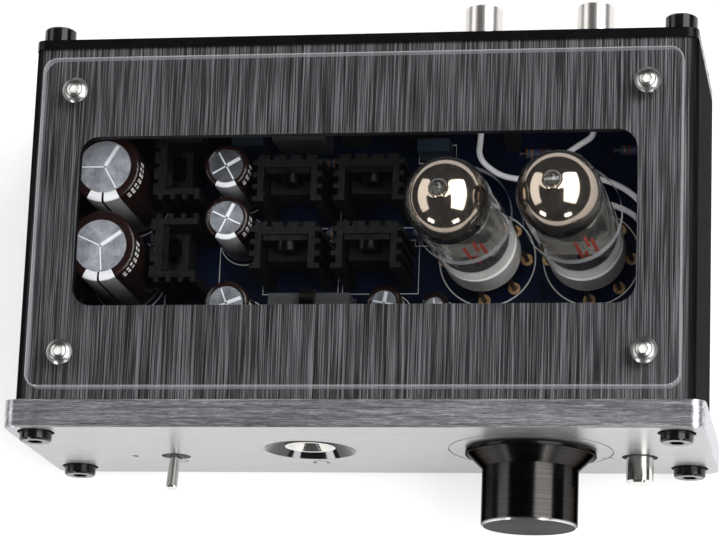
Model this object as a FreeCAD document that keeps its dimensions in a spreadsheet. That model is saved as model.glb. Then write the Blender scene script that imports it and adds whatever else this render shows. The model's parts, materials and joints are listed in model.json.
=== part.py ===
import FreeCAD, Part
import math
import os
import re
import Sketcher

# Tube headphone amplifier.  Every piece is drawn in the chassis frame: X to the right
# with 0 in the middle, Y to the back with 0 on the front panel's face, Z up with 0 on
# the underside of the casing.  publish() then moves each piece to the part's own frame,
# whose origin is under the middle of the whole amplifier, on the surface it stands on.

SIZES = {
    # casing, an extruded aluminium sleeve
    "case_width": 145.7,
    "case_height": 48.0,
    "case_depth": 78.9,
    "case_wall": 2.0,
    "case_corner": 2.5,
    "rail_reach": 3.0,
    "rail_thick": 1.2,
    "channel_radius": 3.9,
    "window_left": -61.3,
    "window_right": 60.2,
    "window_front": 26.8,
    "window_back": 64.75,
    "window_corner": 4.3,
    "foot_radius": 6.0,
    "foot_height": 5.0,
    "foot_offset_x": 60.0,
    "foot_inset_y": 12.0,
    # clear cover over the window
    "cover_width": 140.0,
    "cover_front": 8.3,
    "cover_depth": 73.8,
    "cover_thick": 3.0,
    "cover_gap": 0.05,
    "cover_corner": 3.0,
    "cover_edge": 0.35,
    "cover_inset": 7.6,
    "tube_hole_radius": 10.5,
    "button_head_radius": 2.85,
    "button_head_height": 1.65,
    "button_dome_radius": 3.6,
    "button_key_radius": 1.15,
    "button_key_depth": 1.05,
    "button_screw_length": 6.0,
    "button_shank_radius": 1.5,
    # front and rear panels, and their M4 cap screws
    "panel_width": 150.0,
    "panel_height": 50.15,
    "panel_thick": 6.0,
    "panel_corner": 3.0,
    "panel_edge": 0.3,
    "panel_below": 1.25,
    "rear_height": 48.7,
    "rear_thick": 2.1,
    "rear_below": 0.1,
    "cap_screw_x": 68.8,
    "cap_screw_low": 5.0,
    "cap_screw_high": 43.0,
    "cap_head_radius": 3.5,
    "cap_head_height": 4.0,
    "cap_head_edge": 0.35,
    "cap_key_radius": 1.75,
    "cap_key_depth": 2.2,
    "cap_shank_radius": 2.0,
    "front_screw_length": 16.0,
    "rear_screw_length": 12.0,
    "counterbore_radius": 4.05,
    "counterbore_depth": 1.9,
    # main board
    "board_half_width": 70.0,
    "board_front": 7.0,
    "board_depth": 76.5,
    "board_thick": 1.6,
    "board_top": 12.0,
    "lead_below": 2.4,
    # controls on the front panel
    "dial_x": 36.15,
    "dial_height": 24.4,
    "dial_line_radius": 17.8,
    "dial_line_width": 0.3,
    "dial_line_depth": 0.2,
    "shaft_radius": 3.0,
    "shaft_front": -12.0,
    "shaft_back": 14.0,
    "running_gap": 0.05,
    "bushing_radius": 3.5,
    "bushing_hole_radius": 3.7,
    "bushing_front": 2.5,
    "pot_side": 19.0,
    "pot_front": 8.0,
    "pot_depth": 15.0,
    "pot_pins_front": 4.0,
    "pot_pins_back": 9.0,
    "knob_reach": 16.7,
    "knob_gap": 0.6,
    "knob_rim_radius": 14.15,
    "knob_rim_thick": 0.6,
    "knob_cone_back": 13.6,
    "knob_cone_depth": 3.1,
    "knob_radius": 10.4,
    "knob_edge": 0.5,
    "knob_bore_end": 12.0,
    "grub_depth": 7.5,
    "grub_radius": 1.5,
    "grub_length": 5.0,
    "low_control_height": 17.2,
    "toggle_x": -43.7,
    "toggle_hole_radius": 3.25,
    "toggle_pivot": 5.0,
    "toggle_tilt": 13.0,
    "toggle_ball_radius": 1.8,
    "toggle_root_radius": 0.95,
    "toggle_tip_radius": 1.3,
    "toggle_length": 13.2,
    "toggle_edge": 0.3,
    "toggle_tail_radius": 0.8,
    "toggle_tail_length": 3.1,
    "switch_bushing_radius": 3.0,
    "switch_bushing_front": 2.2,
    "switch_mouth_radius": 2.5,
    "switch_front": 8.5,
    "switch_width": 6.0,
    "switch_height": 8.5,
    "switch_depth": 9.0,
    "button_x": 58.95,
    "button_hole_radius": 3.9,
    "button_radius": 2.95,
    "button_reach": 5.8,
    "button_back": 5.0,
    "button_edge": 0.5,
    "plunger_side": 3.0,
    "plunger_gap": 0.1,
    "plunger_front": -2.0,
    "plunger_back": 12.5,
    "selector_front": 9.0,
    "selector_side": 8.5,
    "selector_depth": 12.0,
    "selector_bore": 8.0,
    "led_x": -53.0,
    "led_hole_radius": 0.75,
    "led_radius": 1.5,
    "led_front": 6.8,
    "led_length": 4.2,
    "led_recess": 0.2,
    "led_leg_bend": 1.0,
    # headphone jack, 6.35 mm
    "jack_x": -12.15,
    "jack_bore_radius": 3.25,
    "jack_width": 18.0,
    "jack_height": 21.4,
    "jack_front": 7.5,
    "jack_depth": 25.5,
    "jack_bore_end": 30.5,
    "ferrule_radius": 5.5,
    "ferrule_front": 0.6,
    "ferrule_mouth_radius": 4.7,
    "ferrule_mouth_depth": 1.4,
    "bezel_radius": 10.35,
    "bezel_lip": 0.35,
    "bezel_cone_radius": 6.4,
    "bezel_depth": 5.0,
    "bezel_floor": 0.6,
    "contact_thick": 0.6,
    "contact_strip_width": 3.0,
    "contact_strip_length": 4.0,
    "contact_strip_x": 5.0,
    "contact_strip_y": 12.0,
    "contact_clip_width": 3.2,
    "contact_clip_share": 0.7,
    "contact_hook_length": 3.6,
    "contact_hook_back": 1.2,
    "contact_roll_radius": 1.6,
    "contact_roll_back": 1.4,
    # rear sockets
    "jack_reach": 13.2,
    "rca_left_x": 23.5,
    "rca_right_x": 48.5,
    "rca_height": 25.0,
    "rca_barrel_radius": 4.15,
    "rca_barrel_bore": 3.5,
    "rca_edge": 0.4,
    "rca_neck_radius": 3.8,
    "rca_flange_radius": 6.2,
    "rca_flange_thick": 1.8,
    "rca_washer_radius": 6.4,
    "rca_washer_thick": 1.4,
    "rca_neck_back": 9.5,
    "rca_nut_thick": 2.4,
    "rca_recess": 0.8,
    "rca_contact_radius": 2.1,
    "rca_contact_bore": 1.6,
    "rca_tail": 4.0,
    "usb_x": -18.0,
    "usb_width": 12.0,
    "usb_height": 11.0,
    "usb_depth": 16.5,
    "usb_proud": 0.5,
    "usb_wall": 0.4,
    "usb_opening_width": 8.5,
    "usb_opening_height": 7.8,
    "usb_opening_depth": 9.0,
    "usb_tongue_width": 5.6,
    "usb_tongue_height": 3.2,
    "usb_tongue_back": 0.8,
    "usb_lip": 0.3,
    "inlet_x": -46.0,
    "inlet_width": 9.0,
    "inlet_height": 11.0,
    "inlet_depth": 14.0,
    "inlet_bore_radius": 3.2,
    "inlet_bore_depth": 9.5,
    "inlet_bore_height": 6.5,
    "inlet_pin_radius": 1.0,
    # tubes and their sockets, heights counted from the board's top
    "left_tube_x": 23.5,
    "right_tube_x": 46.8,
    "tube_y": 45.7,
    "left_lean_x": -2.8,
    "right_lean_x": -2.6,
    "right_lean_y": 2.0,
    "lean_lift": 0.5,
    "socket_bottom": 6.0,
    "socket_top": 15.5,
    "socket_radius": 8.7,
    "socket_edge": 0.7,
    "socket_centre_hole": 1.6,
    "pin_circle": 4.76,
    "pin_radius": 0.5,
    "pin_hole_radius": 1.0,
    "pin_length": 6.5,
    "pin_rise": 1.0,
    "clip_hole_radius": 1.5,
    "clip_radius": 1.25,
    "clip_bottom": 6.5,
    "clip_top": 8.8,
    "leg_bottom": 5.2,
    "leg_thick": 0.4,
    "leg_width": 1.2,
    "eyelet_circle": 9.3,
    "eyelet_flange": 1.35,
    "eyelet_flange_thick": 0.15,
    "eyelet_radius": 0.95,
    "eyelet_bore": 0.6,
    "glass_radius": 9.0,
    "glass_wall": 0.9,
    "glass_base": 2.6,
    "glass_base_corner": 1.6,
    "glass_dome_centre": 48.9,
    "glass_tip_radius": 1.7,
    "glass_tip_blend": 1.2,
    "glass_tip_straight": 0.3,
    "anode_bottom": 23.0,
    "anode_height": 18.0,
    "anode_width": 10.0,
    "anode_depth": 5.2,
    "anode_wall": 0.3,
    "anode_fin": 1.6,
    "mica_radius": 7.7,
    "mica_thick": 0.3,
    "support_radius": 0.4,
    "support_offset": 4.2,
    "getter_ring_radius": 2.6,
    "getter_wire_radius": 0.45,
    "getter_height": 46.5,
    # power devices and their finned heat sinks
    "sink_width": 15.6,
    "sink_depth": 10.5,
    "sink_height": 20.0,
    "sink_fin_reach": 1.1,
    "sink_fin_thick": 1.1,
    "sink_wall": 1.4,
    "sink_back_wall": 1.7,
    "sink_left_x": -18.3,
    "sink_right_x": -0.1,
    "sink_back_y": 59.6,
    "sink_front_y": 44.3,
    "regulator_sink_x": -43.3,
    "regulator_back_y": 62.8,
    "regulator_front_y": 43.9,
    "device_width": 10.0,
    "device_lift": 4.0,
    "device_body_height": 9.2,
    "device_body_thick": 4.4,
    "device_tab_height": 15.6,
    "device_tab_thick": 1.3,
    "device_screw_height": 16.9,
    "device_lead_radius": 0.4,
    "device_lead_pitch": 2.54,
    "device_lead_inset": 0.6,
    "device_lead_inside": 2.0,
    "device_head_radius": 2.75,
    "device_head_height": 2.0,
    # capacitors
    "reservoir_x": -57.9,
    "reservoir_back_y": 60.4,
    "reservoir_front_y": 42.4,
    "reservoir_radius": 8.0,
    "reservoir_height": 27.6,
    "filter_radius": 5.0,
    "filter_height": 20.0,
    "coupling_radius": 4.0,
    "coupling_height": 11.5,
    "bypass_radius": 3.15,
    "bypass_height": 11.0,
    "sleeve_thick": 0.25,
    "vent_depth": 0.25,
    "vent_width": 0.5,
    "vent_share": 0.72,
    "can_edge": 0.5,
    "lead_radius": 0.35,
    "lead_spacing_part": 0.47,
    # small parts on the board
    "film_length": 7.2,
    "film_width": 3.0,
    "film_height": 7.0,
    "film_lift": 0.4,
    "resistor_radius": 1.1,
    "resistor_length": 5.6,
    "resistor_span": 4.0,
    "resistor_lift": 1.2,
    "resistor_wire_radius": 0.28,
    "chip_height": 1.5,
    "chip_lift": 0.1,
    "chip_foot_thick": 0.25,
    "chip_foot_reach": 1.0,
    "chip_foot_share": 0.8,
    # wires
    "wire_radius": 0.65,
    "wire_height": 6.5,
    "wire_straight": 3.2,
}

# Places on the board as x and y; a capacitor also has the turn of its vent, in
# degrees, and a chip its length and width.
RESERVOIR_TURNS = (60.0, 35.0)
FILTER_PLACES = ((-32.2, 62.5, 30.0), (-31.6, 50.6, 65.0), (-30.8, 31.2, 20.0))
COUPLING_PLACE = (2.8, 33.2, 80.0)
BYPASS_PLACE = (14.0, 32.6, 10.0)
FILM_PLACES = ((11.7, 58.0), (11.7, 51.2), (12.0, 70.5), (-30.5, 72.5), (23.0, 30.3))
RESISTOR_PLACES = ((-22.0, 68.4), (-13.0, 68.4), (-4.0, 68.4), (35.0, 70.0), (56.0, 70.5),
                   (61.0, 60.0), (57.0, 31.0), (36.0, 31.0), (-41.0, 31.5), (-9.5, 52.0),
                   (-9.5, 36.4))
CHIP_PLACES = ((-6.5, 77.0, 7.0, 7.0), (8.5, 77.5, 10.2, 5.3), (29.0, 74.5, 4.0, 5.0),
               (-48.5, 31.3, 4.0, 5.0))

# Ways of the two signal wires round the tubes: x, y and height over the usual height.
LEFT_WIRE_WAY = ((22.4, 66.8, 2.0), (27.0, 63.3, 0.0), (34.5, 62.0, 0.0), (43.0, 62.6, 0.4),
                 (50.5, 62.4, 0.0), (57.0, 58.8, 0.0), (62.0, 52.0, -0.5), (64.0, 43.0, -1.0),
                 (63.2, 34.0, -1.0), (59.0, 27.5, -1.0), (57.0, 25.2, -2.0))
RIGHT_WIRE_WAY = ((41.5, 67.2, 2.6), (33.0, 59.6, 1.4), (35.5, 57.2, 0.0), (43.0, 57.8, -1.0),
                  (51.5, 57.0, -1.0), (57.6, 54.2, -1.0), (60.8, 48.0, -2.0),
                  (61.6, 40.5, -2.0), (60.6, 33.5, -2.0), (55.6, 28.0, -2.0),
                  (53.0, 26.2, -2.4))

BOARD_PART_SPACING = 2.54
SOCKET_PINS = 7
PIN_ANGLE = 45.0
HEX = 6
TURN_TO_Y = FreeCAD.Rotation(FreeCAD.Vector(1, 0, 0), -90)
TURN_TO_X = FreeCAD.Rotation(FreeCAD.Vector(0, 1, 0), 90)
NO_TURN = FreeCAD.Rotation()

doc = FreeCAD.newDocument("TubeAmplifier")
sheet = doc.addObject("Spreadsheet::Sheet", "Dimensions")
for row, (alias, value) in enumerate(SIZES.items(), start=1):
    sheet.set("A%d" % row, alias)
    sheet.set("B%d" % row, str(value))
    sheet.setAlias("B%d" % row, alias)
doc.recompute()


def formula(text):
    """A formula in alias names, as an expression that reads the sheet."""
    def name(match):
        word = match.group()
        return "Dimensions." + word if word in SIZES else word
    return re.sub(r"[a-z_]+", name, str(text))


def size(alias):
    return float(sheet.get(alias))


def bind(thing, **sizes):
    for name, text in sizes.items():
        thing.setExpression(name, formula(text))
    return thing


def put(thing, at, turn=NO_TURN):
    """Place a thing: its turn is fixed, and its base follows the sheet."""
    thing.Placement = FreeCAD.Placement(FreeCAD.Vector(), turn)
    for axis, text in zip("xyz", at):
        thing.setExpression("Placement.Base." + axis, formula(text))
    return thing


# ---------------------------------------------------------------- shape makers

def box(length, width, height, at, turn=NO_TURN):
    """A box from its low corner."""
    thing = doc.addObject("Part::Box", "Block")
    return put(bind(thing, Length=length, Width=width, Height=height), at, turn)


def centred_box(length, width, height, at):
    """A box whose base is centred on a point in X and Y."""
    corner = ("%s - (%s) / 2" % (at[0], length), "%s - (%s) / 2" % (at[1], width), at[2])
    return box(length, width, height, corner)


def rod(radius, length, at, turn=NO_TURN):
    """A cylinder from the centre of one end, along Z unless it is turned."""
    thing = doc.addObject("Part::Cylinder", "Rod")
    return put(bind(thing, Radius=radius, Height=length), at, turn)


def taper(start_radius, end_radius, length, at, turn=NO_TURN):
    thing = doc.addObject("Part::Cone", "Taper")
    return put(bind(thing, Radius1=start_radius, Radius2=end_radius, Height=length), at, turn)


def ball(radius, at):
    thing = doc.addObject("Part::Sphere", "Ball")
    return put(bind(thing, Radius=radius), at)


def hexagon(radius, length, at, turn=NO_TURN):
    """A hexagonal bar; the radius reaches its corners."""
    thing = doc.addObject("Part::Prism", "Hexagon")
    thing.Polygon = HEX
    return put(bind(thing, Circumradius=radius, Height=length), at, turn)


def ring(radius, wire_radius, at, turn=NO_TURN):
    thing = doc.addObject("Part::Torus", "Ring")
    return put(bind(thing, Radius1=radius, Radius2=wire_radius), at, turn)


def fuse(*pieces):
    thing = doc.addObject("Part::MultiFuse", "Fuse")
    thing.Shapes = list(pieces)
    return thing


def cut(base, *tools):
    thing = doc.addObject("Part::Cut", "Cut")
    thing.Base = base
    thing.Tool = tools[0] if len(tools) == 1 else fuse(*tools)
    return thing


def gather(pieces):
    """Separate solids that share one node."""
    thing = doc.addObject("Part::Compound", "Group")
    thing.Links = list(pieces)
    return thing


# ---------------------------------------------------------------- body makers

def new_body(name):
    return doc.addObject("PartDesign::Body", name)


def new_sketch(body, role, offset=0):
    """A sketch on an origin plane of its body, moved along the plane's normal."""
    plane = [item for item in body.Origin.OriginFeatures if item.Role == role][0]
    sketch = body.newObject("Sketcher::SketchObject", "Sketch")
    sketch.AttachmentSupport = (plane, [""])
    sketch.MapMode = "FlatFace"
    sketch.setExpression("AttachmentOffset.Base.z", formula(offset))
    return sketch


def pin_point(sketch, geometry, point, x, y):
    """Tie a point of the sketch to the sheet by its two distances from the origin."""
    for kind, text in (("DistanceX", x), ("DistanceY", y)):
        index = sketch.addConstraint(Sketcher.Constraint(kind, -1, 1, geometry, point, 1.0))
        sketch.setExpression("Constraints[%d]" % index, formula(text))


def draw_rectangle(sketch, left, low, right, high):
    corners = [FreeCAD.Vector(*point) for point in ((0, 0, 0), (9, 0, 0), (9, 9, 0), (0, 9, 0))]
    sides = []
    for start, end in zip(corners, corners[1:] + corners[:1]):
        sides.append(sketch.addGeometry(Part.LineSegment(start, end)))
    for side, after in zip(sides, sides[1:] + sides[:1]):
        sketch.addConstraint(Sketcher.Constraint("Coincident", side, 2, after, 1))
    for side in (sides[0], sides[2]):
        sketch.addConstraint(Sketcher.Constraint("Horizontal", side))
    for side in (sides[1], sides[3]):
        sketch.addConstraint(Sketcher.Constraint("Vertical", side))
    pin_point(sketch, sides[0], 1, left, low)
    pin_point(sketch, sides[1], 2, right, high)


def draw_circle(sketch, x, y, radius):
    start = Part.Circle(FreeCAD.Vector(1, 1, 0), FreeCAD.Vector(0, 0, 1), 1.0)
    circle = sketch.addGeometry(start)
    pin_point(sketch, circle, 3, x, y)
    index = sketch.addConstraint(Sketcher.Constraint("Radius", circle, 1.0))
    sketch.setExpression("Constraints[%d]" % index, formula(radius))


def draw_outline(sketch, points):
    """A closed outline of straight lines through points given as pairs of formulas."""
    count = len(points)
    sides = []
    for number in range(count):
        here = math.radians(360.0 * number / count)
        there = math.radians(360.0 * (number + 1) / count)
        start = FreeCAD.Vector(math.cos(here), math.sin(here), 0)
        end = FreeCAD.Vector(math.cos(there), math.sin(there), 0)
        sides.append(sketch.addGeometry(Part.LineSegment(start, end)))
    for side, after in zip(sides, sides[1:] + sides[:1]):
        sketch.addConstraint(Sketcher.Constraint("Coincident", side, 2, after, 1))
    for side, (x, y) in zip(sides, points):
        pin_point(sketch, side, 1, x, y)


def pad(body, sketch, length, reverse=False):
    feature = body.newObject("PartDesign::Pad", "Pad")
    feature.Profile = sketch
    feature.Reversed = reverse
    bind(feature, Length=length)
    doc.recompute()
    return feature


def pocket(body, sketch, length, reverse=False):
    """Cut a sketch into the body, and stop if nothing was removed."""
    before = body.Shape.Volume
    feature = body.newObject("PartDesign::Pocket", "Pocket")
    feature.Profile = sketch
    feature.Reversed = reverse
    bind(feature, Length=length)
    doc.recompute()
    if body.Shape.Volume > before - 0.001:
        raise RuntimeError("a pocket of %s cut nothing" % body.Label)
    return feature


def dress(body, kind, chosen, size_text):
    """Round or bevel the edges of the body that a test picks."""
    base = body.Tip
    names = []
    for number, edge in enumerate(base.Shape.Edges, start=1):
        if chosen(edge):
            names.append("Edge%d" % number)
    feature = body.newObject("PartDesign::" + kind, kind)
    feature.Base = (base, names)
    bind(feature, **{"Radius" if kind == "Fillet" else "Size": size_text})
    doc.recompute()
    return feature


def is_along(edge, direction):
    if edge.Curve.TypeId != "Part::GeomLine":
        return False
    return abs(abs(edge.Curve.Direction.dot(direction)) - 1) < 1e-6


def is_corner(edge, direction, half_width):
    """An edge along a direction at the widest X of a plate."""
    return is_along(edge, direction) and abs(abs(edge.CenterOfMass.x) - half_width) < 0.01


nodes = []
board_holes = []


def publish(thing, name, turn=NO_TURN, pivot=("0", "0", "0")):
    """Give a piece its node name, and move it from the chassis frame to the part's.

    A turn about a pivot point comes first, for the pieces of a tube, which leans.
    """
    thing.Label = name
    move = ("0", "knob_reach - (knob_reach + panel_thick + case_depth + rear_thick"
                 " + jack_reach) / 2", "foot_height")
    columns = [turn.multVec(FreeCAD.Vector(*unit)) for unit in ((1, 0, 0), (0, 1, 0), (0, 0, 1))]
    at = []
    for axis in range(3):
        turned = ["%.9f * (%s)" % (column[axis], part) for column, part in zip(columns, pivot)]
        at.append("%s + (%s) - (%s)" % (move[axis], pivot[axis], " + ".join(turned)))
    put(thing, at, turn)
    nodes.append(thing)


# ---------------------------------------------------------------- casing

def case_body():
    body = new_body("CaseBody")
    outer = new_sketch(body, "XZ_Plane", "-panel_thick")
    draw_rectangle(outer, "-case_width / 2", "0", "case_width / 2", "case_height")
    pad(body, outer, "case_depth", reverse=True)
    half = size("case_width") / 2
    along_y = FreeCAD.Vector(0, 1, 0)
    dress(body, "Fillet", lambda edge: is_corner(edge, along_y, half), "case_corner")

    hollow = new_sketch(body, "XZ_Plane", "-panel_thick")
    draw_rectangle(hollow, "case_wall - case_width / 2", "case_wall",
                   "case_width / 2 - case_wall", "case_height - case_wall")
    pocket(body, hollow, "case_depth", reverse=False)

    for side in (-1, 1):
        inner = "%d * (case_width / 2 - case_wall)" % side
        reach = "%d * (case_width / 2 - case_wall - rail_reach)" % side
        wall = "%d * (case_width / 2 - case_wall / 2)" % side
        for low in ("board_top - board_thick - rail_thick", "board_top"):
            rail = new_sketch(body, "XZ_Plane", "-panel_thick")
            left, right = (wall, reach) if side < 0 else (reach, wall)
            draw_rectangle(rail, left, low, right, low + " + rail_thick")
            pad(body, rail, "case_depth", reverse=True)
        for height, edge in (("cap_screw_low", "case_wall / 2"),
                             ("cap_screw_high", "case_height - case_wall / 2")):
            channel = new_sketch(body, "XZ_Plane", "-panel_thick")
            draw_circle(channel, "%d * cap_screw_x" % side, height, "channel_radius")
            pad(body, channel, "case_depth", reverse=True)
            core = new_sketch(body, "XZ_Plane", "-panel_thick")
            draw_circle(core, "%d * cap_screw_x" % side, height, "cap_shank_radius")
            pocket(body, core, "case_depth")

    window = new_sketch(body, "XY_Plane", "case_height")
    draw_rectangle(window, "window_left", "window_front", "window_right", "window_back")
    pocket(body, window, "case_wall")
    along_z = FreeCAD.Vector(0, 0, 1)
    roof = size("case_height") - size("case_wall") / 2
    dress(body, "Fillet", lambda edge: is_along(edge, along_z)
          and abs(edge.CenterOfMass.z - roof) < 0.01, "window_corner")

    taps = new_sketch(body, "XY_Plane", "case_height")
    for x, y in cover_screw_places():
        draw_circle(taps, x, y, "button_shank_radius")
    pocket(body, taps, "case_wall")
    publish(body, "case_body")


def cover_screw_places():
    across = "(cover_width / 2 - cover_inset)"
    front = "cover_front + cover_inset"
    back = "cover_front + cover_depth - cover_inset"
    return [(sign + across, y) for sign in ("-", "") for y in (front, back)]


def window_cover():
    body = new_body("WindowCover")
    plate = new_sketch(body, "XY_Plane", "case_height + cover_gap")
    draw_rectangle(plate, "-cover_width / 2", "cover_front",
                   "cover_width / 2", "cover_front + cover_depth")
    pad(body, plate, "cover_thick")
    half = size("cover_width") / 2
    along_z = FreeCAD.Vector(0, 0, 1)
    dress(body, "Fillet", lambda edge: is_corner(edge, along_z, half), "cover_corner")
    top = size("case_height") + size("cover_gap") + size("cover_thick")
    dress(body, "Chamfer", lambda edge: abs(edge.BoundBox.ZMin - top) < 0.001
          and abs(edge.BoundBox.ZMax - top) < 0.001, "cover_edge")
    holes = new_sketch(body, "XY_Plane", "case_height + cover_gap")
    for x in ("left_tube_x", "right_tube_x"):
        draw_circle(holes, x, "tube_y", "tube_hole_radius")
    for x, y in cover_screw_places():
        draw_circle(holes, x, y, "button_shank_radius + running_gap")
    pocket(body, holes, "cover_thick", reverse=True)
    publish(body, "window_cover")


def window_cover_screws():
    screws = []
    seat = "case_height + cover_gap + cover_thick"
    for x, y in cover_screw_places():
        head = doc.addObject("Part::MultiCommon", "Dome")
        head.Shapes = [ball("button_dome_radius",
                            (x, y, seat + " + button_head_height - button_dome_radius")),
                       rod("button_head_radius", "button_head_height", (x, y, seat))]
        shank = rod("button_shank_radius", "button_screw_length",
                    (x, y, seat + " - button_screw_length"))
        key = hexagon("button_key_radius", "button_key_depth",
                      (x, y, seat + " + button_head_height - button_key_depth"))
        screws.append(cut(fuse(head, shank), key))
    publish(gather(screws), "window_cover_screws")


def rubber_feet():
    feet = []
    front = "panel_thick + foot_inset_y"
    back = "panel_thick + case_depth - foot_inset_y"
    for x in ("-foot_offset_x", "foot_offset_x"):
        for y in (front, back):
            feet.append(taper("foot_radius * 0.9", "foot_radius", "foot_height",
                              (x, y, "-foot_height")))
    publish(gather(feet), "rubber_feet")


# ---------------------------------------------------------------- panels

def cap_screw(x, height, seat, length, outwards):
    """A socket cap screw along Y; outwards is -1 on the front and 1 on the back."""
    small = "cap_head_radius - cap_head_edge"
    if outwards < 0:
        head_start = seat + " - cap_head_height + cap_head_edge"
        edge_start = seat + " - cap_head_height"
        edge_radii = (small, "cap_head_radius")
        key_start = edge_start
        shank_start = seat
    else:
        head_start = seat
        edge_start = seat + " + cap_head_height - cap_head_edge"
        edge_radii = ("cap_head_radius", small)
        key_start = seat + " + cap_head_height - cap_key_depth"
        shank_start = seat + " - " + length
    head = rod("cap_head_radius", "cap_head_height - cap_head_edge",
               (x, head_start, height), TURN_TO_Y)
    edge = taper(edge_radii[0], edge_radii[1], "cap_head_edge",
                 (x, edge_start, height), TURN_TO_Y)
    shank = rod("cap_shank_radius", length, (x, shank_start, height), TURN_TO_Y)
    key = hexagon("cap_key_radius", "cap_key_depth", (x, key_start, height), TURN_TO_Y)
    return cut(fuse(head, edge, shank), key)


def cap_screw_places():
    return [(x, z) for x in ("-cap_screw_x", "cap_screw_x")
            for z in ("cap_screw_low", "cap_screw_high")]


def panel_screws():
    front = [cap_screw(x, z, "counterbore_depth", "front_screw_length", -1)
             for x, z in cap_screw_places()]
    publish(gather(front), "front_panel_screws")
    seat = "panel_thick + case_depth + rear_thick"
    back = [cap_screw(x, z, seat, "rear_screw_length", 1) for x, z in cap_screw_places()]
    publish(gather(back), "rear_panel_screws")


def front_panel():
    body = new_body("FrontPanel")
    plate = new_sketch(body, "XZ_Plane")
    draw_rectangle(plate, "-panel_width / 2", "-panel_below",
                   "panel_width / 2", "panel_height - panel_below")
    pad(body, plate, "panel_thick", reverse=True)
    half = size("panel_width") / 2
    along_y = FreeCAD.Vector(0, 1, 0)
    dress(body, "Fillet", lambda edge: is_corner(edge, along_y, half), "panel_corner")
    dress(body, "Chamfer", lambda edge: abs(edge.BoundBox.YMin) < 0.001
          and abs(edge.BoundBox.YMax) < 0.001, "panel_edge")

    through = new_sketch(body, "XZ_Plane")
    for x, z in cap_screw_places():
        draw_circle(through, x, z, "cap_shank_radius + running_gap")
    draw_circle(through, "dial_x", "dial_height", "bushing_hole_radius")
    draw_circle(through, "toggle_x", "low_control_height", "toggle_hole_radius")
    draw_circle(through, "button_x", "low_control_height", "button_hole_radius")
    draw_circle(through, "led_x", "low_control_height", "led_hole_radius")
    draw_circle(through, "jack_x", "dial_height", "ferrule_radius + running_gap")
    pocket(body, through, "panel_thick")

    seats = new_sketch(body, "XZ_Plane")
    for x, z in cap_screw_places():
        draw_circle(seats, x, z, "counterbore_radius")
    pocket(body, seats, "counterbore_depth")

    bezel_seat = new_sketch(body, "XZ_Plane")
    draw_circle(bezel_seat, "jack_x", "dial_height", "bezel_radius")
    pocket(body, bezel_seat, "bezel_depth")

    dial_line = new_sketch(body, "XZ_Plane")
    draw_circle(dial_line, "dial_x", "dial_height", "dial_line_radius")
    draw_circle(dial_line, "dial_x", "dial_height", "dial_line_radius - dial_line_width")
    pocket(body, dial_line, "dial_line_depth")
    publish(body, "front_panel")


def rear_panel():
    body = new_body("RearPanel")
    outside = "-(panel_thick + case_depth + rear_thick)"
    plate = new_sketch(body, "XZ_Plane", outside)
    draw_rectangle(plate, "-case_width / 2", "-rear_below",
                   "case_width / 2", "rear_height - rear_below")
    pad(body, plate, "rear_thick")
    half = size("case_width") / 2
    along_y = FreeCAD.Vector(0, 1, 0)
    dress(body, "Fillet", lambda edge: is_corner(edge, along_y, half), "case_corner")

    holes = new_sketch(body, "XZ_Plane", outside)
    for x, z in cap_screw_places():
        draw_circle(holes, x, z, "cap_shank_radius + running_gap")
    for x in ("rca_left_x", "rca_right_x"):
        draw_circle(holes, x, "rca_height", "rca_neck_radius + running_gap")
    draw_rectangle(holes, "usb_x - usb_width / 2 - plunger_gap", "board_top",
                   "usb_x + usb_width / 2 + plunger_gap", "board_top + usb_height + plunger_gap")
    draw_rectangle(holes, "inlet_x - inlet_width / 2 - plunger_gap", "board_top",
                   "inlet_x + inlet_width / 2 + plunger_gap",
                   "board_top + inlet_height + plunger_gap")
    pocket(body, holes, "rear_thick", reverse=True)
    publish(body, "rear_panel")


# ---------------------------------------------------------------- volume control

def volume_control():
    shell = centred_box("pot_side", "pot_depth", "pot_side",
                        ("dial_x", "pot_front + pot_depth / 2", "dial_height - pot_side / 2"))
    neck = rod("bushing_radius", "pot_front - bushing_front",
               ("dial_x", "bushing_front", "dial_height"), TURN_TO_Y)
    bore = rod("shaft_radius + running_gap", "shaft_back - bushing_front + 1",
               ("dial_x", "bushing_front - 0.5", "dial_height"), TURN_TO_Y)
    pins = []
    for row in ("pot_front + pot_pins_front", "pot_front + pot_pins_back"):
        for step in (-1, 0, 1):
            x = "dial_x + %g" % (step * 2 * BOARD_PART_SPACING)
            pins.append(lead(x, row, "dial_height - pot_side / 2 - board_top"))
    publish(fuse(cut(fuse(shell, neck), bore), *pins), "potentiometer_body")

    shaft = rod("shaft_radius", "shaft_back - shaft_front",
                ("dial_x", "shaft_front", "dial_height"), TURN_TO_Y)
    publish(gather([shaft]), "volume_shaft")

    grub_start = "dial_height - shaft_radius - grub_length"
    grub = rod("grub_radius", "grub_length", ("dial_x", "-grub_depth", grub_start))
    key = hexagon("grub_radius * 0.55", "grub_length * 0.4",
                  ("dial_x", "-grub_depth", grub_start))
    publish(cut(grub, key), "knob_grub_screw")
    volume_knob()


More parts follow.
